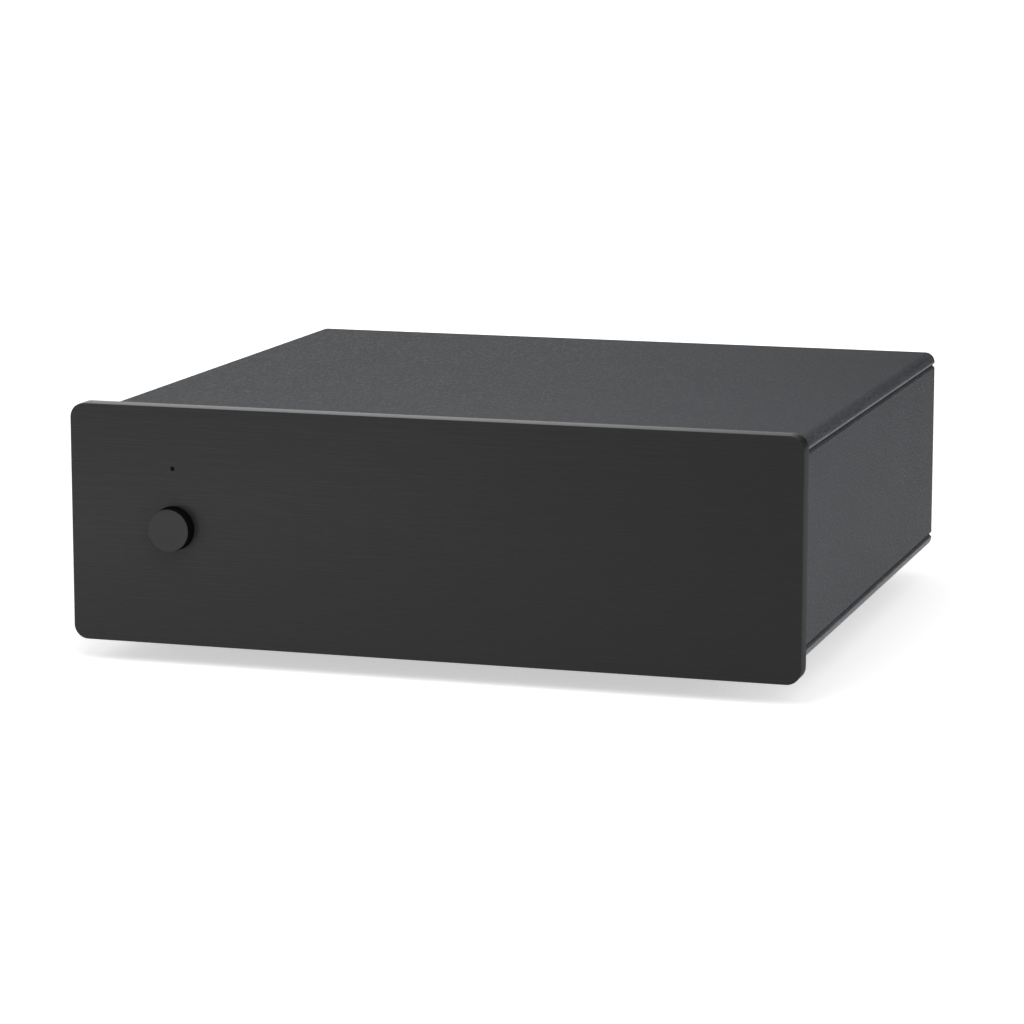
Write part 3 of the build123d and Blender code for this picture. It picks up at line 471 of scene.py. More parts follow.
def make_piece(name: str, points: Grid, faces: list[Sequence[int]]) -> bpy.types.Object:
    """Makes an object at the origin from points and faces.

    Doubled points are merged, which closes poles, faces are turned outwards, and edges sharper
    than SHARP_ANGLE stay crisp under smooth shading.

    Args:
        name: The piece's name.
        points: Its points in the row frame.
        faces: Point numbers of each face.

    Returns:
        The new object, linked to the scene.
    """
    mesh = bpy.data.meshes.new(name)
    mesh.from_pydata(np.asarray(points, float).reshape(-1, 3).tolist(), [], faces)
    work = bmesh.new()
    work.from_mesh(mesh)
    bmesh.ops.remove_doubles(work, verts=work.verts, dist=MERGE_DISTANCE)
    bmesh.ops.recalc_face_normals(work, faces=work.faces)
    work.to_mesh(mesh)
    work.free()
    mesh.shade_smooth()
    mesh.set_sharp_from_angle(angle=SHARP_ANGLE)
    piece = bpy.data.objects.new(name, mesh)
    bpy.context.scene.collection.objects.link(piece)
    return piece


def merged(solids: Sequence[Solid]) -> Solid:
    """Puts the points and faces of several solids into one list of each.

    Args:
        solids: The solids.

    Returns:
        Points and faces.
    """
    points, faces, count = [], [], 0
    for solid_points, solid_faces in solids:
        points.append(solid_points)
        faces += [[i + count for i in face] for face in solid_faces]
        count += len(solid_points)
    return np.concatenate(points), faces


class Facing(Enum):
    """Which way a turned piece's axis points. The value holds its X, Y and axis directions."""

    BACK = ((-1, 0, 0), (0, 0, 1), (0, 1, 0))
    FRONT = ((1, 0, 0), (0, 0, 1), (0, -1, 0))
    UP = ((1, 0, 0), (0, 1, 0), (0, 0, 1))
    DOWN = ((1, 0, 0), (0, -1, 0), (0, 0, -1))


@dataclass(frozen=True)
class Ring:
    """One ring of a turned piece.

    `radius` is to the middle of a flat where the ring has `flats`, and `limit` is the radius
    that its corners are turned down to.
    """

    radius: float
    height: float
    flats: int = 0
    limit: float = math.inf


def turned(
    profile: Sequence[Ring],
    at: Place,
    facing: Facing,
    closed: bool = False,
    relief: Optional[Callable[[Grid, Grid, Grid], Grid]] = None,
    around: int = AROUND,
) -> Solid:
    """A surface turned about an axis.

    It is a function of the angle and the place along the profile. The radius at an angle is
    the ring's own, or for a ring with n flats that radius over the cosine of the angle to the
    nearest flat's middle, and never more than the ring's limit.

    Args:
        profile: The rings, from one end to the other, or round a closed wall.
        at: The axis's origin in the row frame.
        facing: The axis's direction.
        closed: Whether the profile closes on itself, as a tube's or washer's does.
        relief: Takes angle, height and radius grids, and gives new radii.
        around: Steps round the axis.

    Returns:
        Points and faces.
    """
    radius = np.array([r.radius for r in profile])[:, None]
    height = np.array([r.height for r in profile])[:, None]
    flats = np.array([r.flats for r in profile])[:, None]
    limit = np.array([r.limit for r in profile])[:, None]
    angle = np.arange(around)[None, :] * math.tau / around
    share = math.tau / np.maximum(flats, 1)
    off_middle = (angle + share / 2) % share - share / 2
    flat_radius = radius / np.cos(np.where(flats > 0, off_middle, 0))
    grid = np.minimum(flat_radius, limit)
    height = np.broadcast_to(height, grid.shape)
    if relief:
        grid = relief(np.broadcast_to(angle, grid.shape), height, grid)
    x_way, y_way, axis = (np.array(v, float) for v in facing.value)
    points = (
        np.asarray(at, float)
        + (grid * np.cos(angle))[..., None] * x_way
        + (grid * np.sin(angle))[..., None] * y_way
        + height[..., None] * axis
    )
    faces = strip_faces(len(profile), around, closed).tolist()
    return points.reshape(-1, 3), faces


def turned_copies(
    profile: Sequence[Ring], places: Sequence[Place], facing: Facing, closed: bool = False,
) -> Solid:
    """One turned shape at several places, as points and faces."""
    return merged([turned(profile, at, facing, closed) for at in places])


def rings_along(corners: Sequence[Place], radii: Any, closed: bool = False,
                steps: int = 5) -> list[Ring]:
    """Round rings along a profile of (radius, height) corners, rounded off as asked."""
    return [Ring(r, h) for r, h in rounded_path(corners, radii, steps, closed)]


def hexagon_band(width: float, low: float, high: float, bevel: float, steps: int = 4) -> list[Ring]:
    """Rings of a hexagon nut's outside, with its corners turned down towards both faces.

    The turned-down radius falls from the hexagon's corners to just inside its flats along a
    30 degree cone, which leaves the curved edges that a real nut has.

    Args:
        width: Across the flats.
        low: Height of the lower face.
        high: Height of the upper face.
        bevel: Height that the cone takes off the corners at each end.
        steps: Rings in each cone.

    Returns:
        The rings from low to high.
    """
    flat, corner = width / 2, width / 2 / math.cos(math.pi / 6)
    inner = flat * TURNED_DOWN
    shares = np.linspace(0, 1, steps + 1)
    lower = [Ring(flat, low + bevel * t, 6, inner + (corner - inner) * t) for t in shares]
    upper = [Ring(flat, high - bevel * t, 6, inner + (corner - inner) * t) for t in shares[::-1]]
    return lower + upper


def plate(
    outline: Callable[[float], Grid],
    edge: Sequence[Place],
    holes: Sequence[tuple[Place, Sequence[Place]]],
) -> Solid:
    """An upright plate with round holes.

    Its rim and the wall of each hole are surfaces of two parameters, the place round the
    outline and the place through the thickness. Front and back are flat faces between them.

    Args:
        outline: Gives the outline's (x, z) points when it is moved in by a distance.
        edge: The rim's profile from front to back as (distance in, y).
        holes: For each hole its centre (x, z) and its wall's profile as (radius, y).

    Returns:
        Points and faces.
    """
    stacks = [[(outline(inset), y) for inset, y in edge]]
    stacks += [[(circle(centre, radius), y) for radius, y in wall] for centre, wall in holes]
    points, faces, fronts, backs, count = [], [], [], [], 0
    for stack in stacks:
        around = len(stack[0][0])
        rings = np.stack([np.insert(ring, 1, y, axis=1) for ring, y in stack])
        points.append(rings.reshape(-1, 3))
        faces += (strip_faces(len(stack), around) + count).tolist()
        fronts.append(np.arange(around) + count)
        backs.append(np.arange(around) + count + (len(stack) - 1) * around)
        count += len(stack) * around
    points = np.concatenate(points)
    for loops in (fronts, backs):
        faces += filled(points, loops, (0, 2))
    return points, faces


def filled(points: Grid, loops: Sequence[Grid], axes: tuple[int, int]) -> list[Sequence[int]]:
    """Triangles of the flat face inside the first loop and outside the others.

    Args:
        points: All points.
        loops: Point numbers of each loop.
        axes: The two coordinates that span the face.

    Returns:
        Three point numbers a face.
    """
    flat = [np.insert(points[loop][:, axes], 2, 0.0, axis=1).tolist() for loop in loops]
    return np.concatenate(loops)[np.array(tessellate_polygon(flat))].tolist()


def extrusion(
    outline: Grid,
    start: float,
    end: float,
    openings: Sequence[tuple[float, float, Sequence[tuple[Grid, Grid]]]] = (),
) -> Solid:
    """A profile carried along Y.

    The wall is a function of the place round the outline and of y. Where the wall has openings,
    the two level faces that they go through are filled round them instead.

    Args:
        outline: The profile's (x, z) points.
        start: y of the front end.
        end: y of the rear end.
        openings: The heights of the outer and the inner level face, and for each opening its
            (x, y) loops on the outer and on the inner face.

    Returns:
        Points and faces.
    """
    count = len(outline)
    ends = [np.insert(outline, 1, y, axis=1) for y in (start, end)]
    points = [np.concatenate(ends)]
    quads = strip_faces(2, count)
    faces = [list(range(count)), list(range(count, 2 * count))]
    extra = 2 * count
    for outer, inner, pairs in openings:
        z = outline[:, 1]
        run = np.abs(np.roll(outline[:, 0], -1) - outline[:, 0])
        loops = {outer: [], inner: []}
        for level in (outer, inner):
            level_edge = np.isclose(z, level) & np.isclose(np.roll(z, -1), level)
            edge = int(np.argmax(np.where(level_edge, run, -1)))
            ahead = (edge + 1) % count
            quads = quads[quads[:, 0] != edge]
            loops[level].append(np.array([edge, ahead, ahead + count, edge + count]))
        for pair in pairs:
            around = len(pair[0])
            for level, loop in zip((outer, inner), pair):
                points.append(np.column_stack([loop, np.full(around, level)]))
                loops[level].append(np.arange(around) + extra)
                extra += around
            faces += (strip_faces(2, around) + extra - 2 * around).tolist()
        everything = np.concatenate(points)
        for level in (outer, inner):
            faces += filled(everything, loops[level], (0, 1))
    return np.concatenate(points), faces + quads.tolist()


def box_solid(low: Place, high: Place) -> Solid:
    """A box whose corners are the lowest one plus 0 or 1 times the size along each axis.

    Args:
        low: Lowest corner.
        high: Highest corner.

    Returns:
        Points and faces.
    """
    corners = np.array([(x, y, z) for z in (0, 1) for x, y in ((0, 0), (1, 0), (1, 1), (0, 1))])
    points = np.asarray(low) + corners * (np.asarray(high) - np.asarray(low))
    return points, [[3, 2, 1, 0], [4, 5, 6, 7], *strip_faces(2, 4).tolist()]


def rounded_box(low: Place, high: Place, radius: float, name: str) -> bpy.types.Object:
    """A box between two corners whose edges a Bevel modifier rounds.

    Args:
        low: Lowest corner.
        high: Highest corner.
        radius: Radius of the edges.
        name: The piece's name.

    Returns:
        The new object.
    """
    piece = make_piece(name, *box_solid(low, high))
    bevel = piece.modifiers.new("edges", "BEVEL")
    bevel.width = radius
    bevel.segments = 3
    return piece


# ---- Fitting pieces to the frame

def settle(
    piece: bpy.types.Object, finish: Finish, body: str, slot: str, *nodes: str,
) -> bpy.types.Object:
    """Gives a new piece its finish and body, hides the nodes that it stands for, and reports it.

    Args:
        piece: The new piece.
        finish: Its finish.
        body: The body that it moves with.
        slot: Not used.
        nodes: CAD nodes that it replaces.

    Returns:
        The piece.
    """
    piece.data.materials.clear()
    piece.data.materials.append(finish.material())
    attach(piece, body)
    if nodes:
        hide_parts(*nodes)
    log.info("%s: %d faces, %s, on %s", piece.name, len(piece.data.polygons), finish.name, body)
    return piece


def fit(
    name: str, solid: Solid, finish: Finish, body: str, slot: str, *nodes: str,
) -> bpy.types.Object:
    """Makes a new piece from its points and faces and settles it."""
    return settle(make_piece(name, *solid), finish, body, slot, *nodes)


def panel_outline(node: str, corner_radius: float) -> Callable[[float], Grid]:
    """The outline of an upright panel that is as large as its CAD node.

    Args:
        node: The panel's CAD node.
        corner_radius: Radius of its corners.

    Returns:
        A function that gives the outline's (x, z) points, moved in by a distance.
    """
    low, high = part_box(node)
    width, height, centre = high.x - low.x, high.z - low.z, middle(node)

    def outline(inset: float) -> Grid:
        """The panel's outline, moved in by a distance."""
        shape = rounded_rectangle(width - 2 * inset, height - 2 * inset, corner_radius - inset)
        return shape + (centre.x, centre.z)

    return outline


def machine(piece: bpy.types.Object, finish: Finish, chosen: Callable[[Grid, Grid], Grid]) -> None:
    """Gives some faces a finish of their own, which paints light or shade on them.

    Args:
        piece: The piece, already settled.
        finish: The finish that paints light or shade on those faces.
        chosen: Takes the faces' middles and normals, and tells which faces it is.
    """
    mesh = piece.data
    count = len(mesh.polygons)
    centres, normals = np.empty(3 * count), np.empty(3 * count)
    mesh.polygons.foreach_get("center", centres)
    mesh.polygons.foreach_get("normal", normals)
    picked = chosen(centres.reshape(-1, 3), normals.reshape(-1, 3))
    slots = np.empty(count, np.int32)
    mesh.polygons.foreach_get("material_index", slots)
    slots[picked] = len(mesh.materials)
    mesh.materials.append(finish.material())
    mesh.polygons.foreach_set("material_index", slots)
    log.info("%s: %d light_painted faces, %s", piece.name, int(picked.sum()), finish.name)


def dress(finish: Finish, *nodes: str) -> None:
    """Gives CAD nodes a finish through their objects' material slots.

    Args:
        finish: The finish.
        nodes: The nodes' names.
    """
    for node in nodes:
        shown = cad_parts[node]
        if not shown.material_slots:
            shown.data.materials.append(finish.material())
        for material_slot in shown.material_slots:
            material_slot.material = finish.material()
        log.info("%s: kept from the CAD, %s", node, finish.name)


# ---- Sub-assemblies

@dataclass
class FrontPanel:
    """The thick front panel, with the holes for the button and the indicator lamp."""

    corner_radius: float = 4.0 * MM
    edge_radius: float = 0.15 * MM
    button_hole_radius: float = 6.05 * MM
    button_pocket_radius: float = 7.55 * MM
    button_skin: float = 2.0 * MM
    lamp_hole_radius: float = 0.6 * MM
    lamp_pocket_radius: float = 1.6 * MM
    lamp_skin: float = 1.5 * MM
    hole_break: float = 0.1 * MM
    edge_steps: int = 6
    end_facing: float = 0.85  # least share of X in the normal of a face at the panel's ends

    def edge(self, front: float, back: float) -> list[Place]:
        """The rim's profile: a quarter round at the front, flat sides and a small one behind.

        Args:
            front: y of the front face.
            back: y of the back face.

        Returns:
            (distance in, y) pairs.
        """
        turn = np.linspace(0, math.pi / 2, self.edge_steps + 1)
        r = self.edge_radius
        fore = [(r * (1 - math.sin(a)), front + r * (1 - math.cos(a))) for a in turn]
        aft = [(r * (1 - math.sin(a)), back - r * (1 - math.cos(a))) for a in turn[::-1]]
        return fore + aft

    def build(self) -> None:
        """Makes the panel."""
        low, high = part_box("front_panel")
        button, lamp = middle("power_button"), middle("light_pipe")
        front, back, rim = low.y, high.y, self.hole_break
        button_wall = [
            (self.button_hole_radius + rim, front),
            (self.button_hole_radius, front + rim),
            (self.button_hole_radius, front + self.button_skin),
            (self.button_pocket_radius, front + self.button_skin),
            (self.button_pocket_radius, back),
        ]
        lamp_wall = [
            (self.lamp_hole_radius + rim / 2, front),
            (self.lamp_hole_radius, front + rim / 2),
            (self.lamp_hole_radius, front + self.lamp_skin),
            (self.lamp_pocket_radius, front + self.lamp_skin),
            (self.lamp_pocket_radius, back),
        ]
        holes = [((button.x, button.z), button_wall), ((lamp.x, lamp.z), lamp_wall)]
        outline = panel_outline("front_panel", self.corner_radius)
        shape = plate(outline, self.edge(front, back), holes)
        panel = fit("brushed_front_panel", shape, BRUSHED_FRONT, "root", "anodised_front",
                    "front_panel")

        def end_faces(centres: Grid, normals: Grid) -> Grid:
            """The rim's left and right ends."""
            outside = np.abs(centres[:, 0]) > high.x - self.corner_radius
            return outside & (np.abs(normals[:, 0]) > self.end_facing)

        # The panel's left and right ends get painted shade: a darker, duller copy of the front's
        # finish.
        machine(panel, DARK_MILLED_AND_PAINTED_SHADE, end_faces)


@dataclass
class CaseShell:
    """The case behind the front panel: two covers, two sides, sub-plate and rear panel."""

    corner_radius: float = 3.0 * MM
    wall: float = 2.5 * MM
    lip_thickness: float = 1.5 * MM
    seam_bevel: float = 0.6 * MM
    seam_gap: float = 0.2 * MM
    rib_thickness: float = 1.5 * MM
    rib_from_side: float = 3.15 * MM
    hook_reach: float = 1.0 * MM
    hook_height: float = 1.0 * MM
    lip_height: float = 4.0 * MM
    edge_break: float = 0.08 * MM
    seat_radius: float = 2.75 * MM
    hole_radius: float = 1.3 * MM
    seat_play: float = 0.05 * MM
    window_gap: float = 0.5 * MM
    window_radius: float = 0.4 * MM
    rear_corner_radius: float = 2.5 * MM
    rear_edge: float = 0.15 * MM
    neck_play: float = 0.1 * MM
    rear_screw_hole: float = 1.7 * MM
    terminal_hole: float = 2.1 * MM
    inlet_hole: float = 4.5 * MM
    side_thickness: float = 3.0 * MM
    clearance: float = 0.15 * MM
    port_radius: float = 2.9 * MM
    port_slit: float = 1.6 * MM
    port_steps: int = 32
    # height of the strip above the top cover's seam that takes the painted highlight
    rubbed: float = 0.65 * MM
    lip_facing: float = 0.5  # least outward share in the normal of a face on a lip's outside

    def cover_outline(self, node: str, up: int) -> Grid:
        """A cover's profile: plate, rounded corners, lips, and ribs that hook into the sides.

        Args:
            node: The cover's CAD node.
            up: 1 for the top cover and -1 for the base.

        Returns:
            The profile's (x, z) points.
        """
        low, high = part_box(node)
        side = high.x
        outer = high.z if up > 0 else low.z
        inner = outer - up * self.wall
        seam = outer - up * (self.lip_height - self.seam_gap)
        tip = low.z if up > 0 else high.z
        rib = side - self.rib_from_side
        half = [
            (side, outer),
            (side, seam + up * self.seam_bevel),
            (side - self.seam_bevel, seam),
            (side - self.lip_thickness, seam),
            (side - self.lip_thickness, inner),
            (rib, inner),
            (rib, tip + up * self.hook_height),
            (rib + self.hook_reach, tip + up * self.hook_height),
            (rib + self.hook_reach, tip),
            (rib - self.rib_thickness, tip),
            (rib - self.rib_thickness, inner),
        ]
        corners = half + [(-x, z) for x, z in half[::-1]]
        radii = np.full(len(corners), self.edge_break)
        radii[[0, -1]] = self.corner_radius
        return rounded_path(corners, radii, steps=12)

    def base_openings(self) -> list[tuple[Grid, Grid]]:
        """The base's openings: windows for the switch banks, and seats and holes for screws.

        Returns:
            For each opening its (x, y) loops on the outer and the inner face.
        """
        pairs = []
        for node in ("switch_bank_left", "switch_bank_right"):
            low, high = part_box(node)
            size = high - low
            shape = rounded_rectangle(
                size.x + 2 * self.window_gap, size.y + 2 * self.window_gap,
                self.window_radius, steps=5,
            ) + (middle(node).x, middle(node).y)
            pairs.append((shape, shape))
        for at in CaseScrews().pillar_places():
            seat = circle(at, self.seat_radius + self.seat_play)
            pairs.append((seat, circle(at, self.hole_radius)))
        return pairs

    def side_outline(self, side: int) -> Grid:
        """A side panel's profile: wall, tongues behind the lips, and slots for the hooks.

        Args:
            side: 1 for the right panel and -1 for the left.

        Returns:
            The profile's (x, z) points.
        """
        low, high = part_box("side_panel_right")
        tip, outer = (corner.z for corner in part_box("top_cover"))
        seam = outer - self.lip_height
        wall, inside = high.x, high.x - self.side_thickness
        tongue = wall - self.lip_thickness - self.clearance
        slot_high, slot_low = tip + self.hook_height + self.clearance, tip - self.clearance
        half = [
            (wall, seam - self.seam_bevel),
            (wall - self.seam_bevel, seam),
            (tongue, seam),
            (tongue, high.z),
            (inside, high.z),
            (inside, slot_high),
            (inside + self.hook_reach, slot_high),
            (inside + self.hook_reach, slot_low),
            (inside, slot_low),
        ]
        corners = half + [(x, low.z + high.z - z) for x, z in half[::-1]]
        return rounded_path(corners, self.edge_break, steps=3) * (side, 1)

    def port_outline(self, at: Place, side: int) -> Grid:
        """A screw port's profile, a tube that is slit on the side away from the wall.

        It runs along the outer circle from one lip of the slit to the other and back along the
        inner one. A circle's first angle is half a turn plus arcsin(half the slit / its radius).

        Args:
            at: The port's (x, z).
            side: 1 for a port of the right panel and -1 for the left.

        Returns:
            The profile's (x, z) points.
        """
        share = np.linspace(0, 1, self.port_steps + 1)
        loops = []
        for radius in (self.port_radius, self.hole_radius):
            lip = math.asin(self.port_slit / 2 / radius)
            angle = math.pi + lip + share * (math.tau - 2 * lip)
            loops.append(np.stack([np.cos(angle), np.sin(angle)], 1) * radius)
        return np.concatenate([loops[0], loops[1][::-1]]) * (side, 1) + at

    def covers(self) -> None:
        """Makes the top cover and the base."""
        low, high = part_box("top_cover")
        shape = extrusion(self.cover_outline("top_cover", 1), low.y, high.y)
        top = fit("blasted_top_cover", shape, BLASTED_CASE, "root", "anodised_case", "top_cover")
        edge = high.z - self.lip_height + self.seam_gap + self.seam_bevel

        def lip_faces(centres: Grid, normals: Grid) -> Grid:
            """The upright strips above both seams."""
            near = (centres[:, 2] > edge) & (centres[:, 2] < edge + self.rubbed)
            return near & (np.abs(centres[:, 0]) > high.x - self.seam_bevel)

        # The strips above both seams get a painted highlight: a paler, glossier copy of the case's
        # finish.
        machine(top, EDGE_PAINTED_SHEEN, lip_faces)
        low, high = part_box("base_cover")
        openings = [(low.z, low.z + self.wall, self.base_openings())]
        shape = extrusion(self.cover_outline("base_cover", -1), low.y, high.y, openings)
        base = fit("blasted_base_cover", shape, BLASTED_CASE, "root", "anodised_case",
                   "base_cover")

        def foot_faces(centres: Grid, normals: Grid) -> Grid:
            """The outsides of both lips, down to where they turn under the case."""
            outside = np.abs(centres[:, 0]) > high.x - self.corner_radius
            return outside & (normals[:, 0] * np.sign(centres[:, 0]) > self.lip_facing)

        # The base's lips get the same painted highlight, down to where they turn under the case.
        machine(base, EDGE_PAINTED_SHEEN, foot_faces)

    def sides(self) -> None:
        """Makes the side panels, each with its two screw ports."""
        for node, side in (("side_panel_left", -1), ("side_panel_right", 1)):
            low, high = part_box(node)
            outlines = [self.side_outline(side)]
            outlines += [
                self.port_outline(at, side)
                for at in CaseScrews().port_places() if at[0] * side > 0
            ]
            shape = merged([extrusion(outline, low.y, high.y) for outline in outlines])
            fit(f"blasted_{node}", shape, BLASTED_SIDE, "root", "anodised_case", node)

    def rear_panel(self) -> None:
        """Makes the rear panel with its holes."""
        low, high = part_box("rear_panel")
        front, back, rim = low.y, high.y, self.rear_edge
        halfway = 0.3 * rim  # from both faces, for the middle of the rounded rim
        round_edge = [(0, front), (0, back - rim), (halfway, back - halfway), (rim, back)]

        def wall(radius: float) -> list[Place]:
            """The wall of a hole with a broken edge at the back."""
            return [(radius, front), (radius, back - rim / 2), (radius + rim / 2, back)]

        holes = [((at.x, at.z), wall(PhonoSockets.neck_radius + self.neck_play))
                 for at in map(middle, PhonoSockets.shells)]
        holes += [(at, wall(self.rear_screw_hole)) for at in CaseScrews().port_places()]
        post, inlet = middle("ground_post"), middle("power_inlet_pin")
        holes.append(((post.x, post.z), wall(self.terminal_hole)))
        holes.append(((inlet.x, inlet.z), wall(self.inlet_hole)))
        shape = plate(panel_outline("rear_panel", self.rear_corner_radius), round_edge, holes)
        fit("blasted_rear_panel", shape, BLASTED_CASE, "root", "anodised_case", "rear_panel")

    def build(self) -> None:
        """Makes and dresses the case."""
        self.covers()
        self.sides()
        self.rear_panel()
        dress(DARK_MILLED_AND_PAINTED_SHADE, "front_subplate")


@dataclass
class CaseScrews:
    """The screws that hold the case together, and those of the feet and the boards."""

    head_radius: float = 2.75 * MM
    head_height: float = 2.0 * MM
    shank_radius: float = 1.25 * MM
    socket_radius: float = 1.0 * MM
    socket_depth: float = 1.3 * MM
    head_round: float = 1.1 * MM
    head_flat: float = 0.15 * MM
    socket_break: float = 0.08 * MM
    socket_break_depth: float = 0.1 * MM
    socket_point: float = 0.3 * MM
    flat_socket_point: float = 0.2 * MM
    flat_rim: float = 0.1 * MM
    flat_break: float = 0.05 * MM
    tip_bevel: float = 0.35 * MM

    def corner_places(self, node: str, axis: int) -> list[tuple[float, float]]:
        """The middles of four heads that fill the corners of their node's box.

        Args:
            node: The screws' CAD node.
            axis: The second axis, 1 for Y and 2 for Z. The first is X.

        Returns:
            Two coordinates for each head.
        """
        low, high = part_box(node)
        r = self.head_radius
        return [(x, v) for x in (low.x + r, high.x - r) for v in (low[axis] + r, high[axis] - r)]

    def port_places(self) -> list[tuple[float, float]]:
        """(x, z) of the four screw ports in the side extrusions."""
        return self.corner_places("rear_panel_screws", 2)

    def pillar_places(self) -> list[tuple[float, float]]:
        """(x, y) of the screws that hold the main board's pillars to the base."""
        return self.corner_places("base_screws", 1)

    def button_profile(self, length: float) -> list[Ring]:
        """A button head screw's rings, from the floor of its socket to the shank's tip.

        Args:
            length: Length under the head.

        Returns:
            The rings, with height 0 under the head.
        """
        top, rim = self.head_height, self.socket_radius / math.cos(math.pi / 6)
        dome = rings_along(
            [(rim + self.head_flat, top), (self.head_radius, top), (self.head_radius, 0.0)],
            self.head_round, steps=8,
        )
        return [
            Ring(0.0, top - self.socket_depth - self.socket_point),
            Ring(self.socket_radius, top - self.socket_depth, 6),
            Ring(self.socket_radius, top - self.socket_break_depth, 6),
            Ring(self.socket_radius + self.socket_break, top, 6),
            *dome,
            Ring(self.shank_radius, 0.0),
            Ring(self.shank_radius, self.tip_bevel - length),
            Ring(self.shank_radius - self.tip_bevel, -length),
            Ring(0.0, -length),
        ]

    def flat_profile(self, length: float) -> list[Ring]:
        """A countersunk screw's rings, from the floor of its socket to the shank's tip.

        Args:
            length: Whole length.

        Returns:
            The rings, with height 0 on the head's face.
        """
        cone = self.head_radius - self.shank_radius
        return [
            Ring(0.0, -self.socket_depth - self.flat_socket_point),
            Ring(self.socket_radius, -self.socket_depth, 6),
            Ring(self.socket_radius, -self.socket_break, 6),
            Ring(self.socket_radius + self.socket_break, 0.0, 6),
            Ring(self.head_radius - self.flat_break, 0.0),
            Ring(self.head_radius, -self.flat_rim),
            Ring(self.shank_radius, -self.flat_rim - cone),
            Ring(self.shank_radius, -length),
            Ring(0.0, -length),
        ]

    def build(self) -> None:
        """Makes the screws that show and dresses the others."""
        low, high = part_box("rear_panel_screws")
        seat = high.y - self.head_height
        places = [(x, seat, z) for x, z in self.port_places()]
        rear = turned_copies(self.button_profile(seat - low.y), places, Facing.BACK)
        fit("rear_button_head_screws", rear, BLACK_OXIDE_STEEL, "root", "black_steel",
            "rear_panel_screws")
        low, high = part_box("base_screws")
        places = [(x, y, low.z) for x, y in self.pillar_places()]
        base = turned_copies(self.flat_profile(high.z - low.z), places, Facing.DOWN)
        fit("base_countersunk_screws", base, BLACK_OXIDE_STEEL, "root", "black_steel",
            "base_screws")
        low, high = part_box("foot_screws")
        seat = low.z + self.head_height
        places = [(at.x, at.y, seat) for at in map(middle, Feet.nodes)]
        feet = turned_copies(self.button_profile(high.z - seat), places, Facing.DOWN)
        fit("foot_button_head_screws", feet, ZINC_STEEL, "root", "zinc_steel", "foot_screws")
        dress(BLACK_OXIDE_STEEL, "subplate_screws")
        dress(ZINC_STEEL, "front_panel_screws", "board_screws")


@dataclass
class Feet:
    """Four rubber feet with recessed screws."""

    nodes: tuple[str, ...] = (
        "foot_front_left", "foot_front_right", "foot_rear_left", "foot_rear_right",
    )
    recess_radius: float = 3.9 * MM
    seat: float = 4.5 * MM
    hole_radius: float = 1.7 * MM
    edge_round: float = 0.8 * MM
    waist: float = 0.15 * MM
    top_round: float = 0.3 * MM
    mouth_round: float = 0.4 * MM
    floor_round: float = 0.3 * MM
    hole_break: float = 0.05 * MM

    def build(self) -> None:
        """Makes the feet."""
        for node in self.nodes:
            low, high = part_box(node)
            at = middle(node)
            radius, height = (high.x - low.x) / 2, high.z - low.z
            corners = [
                (self.hole_radius, height), (radius, height), (radius - self.waist, 0.0),
                (self.recess_radius, 0.0), (self.recess_radius, self.seat),
                (self.hole_radius, self.seat),
            ]
            radii = [self.hole_break, self.top_round, self.edge_round, self.mouth_round,
                     self.floor_round, self.hole_break]
            rings = rings_along(corners, radii, closed=True)
            shape = turned(rings, (at.x, at.y, low.z), Facing.UP, closed=True)
            fit(f"rubber_{node}", shape, RUBBER, "root", "rubber", node)


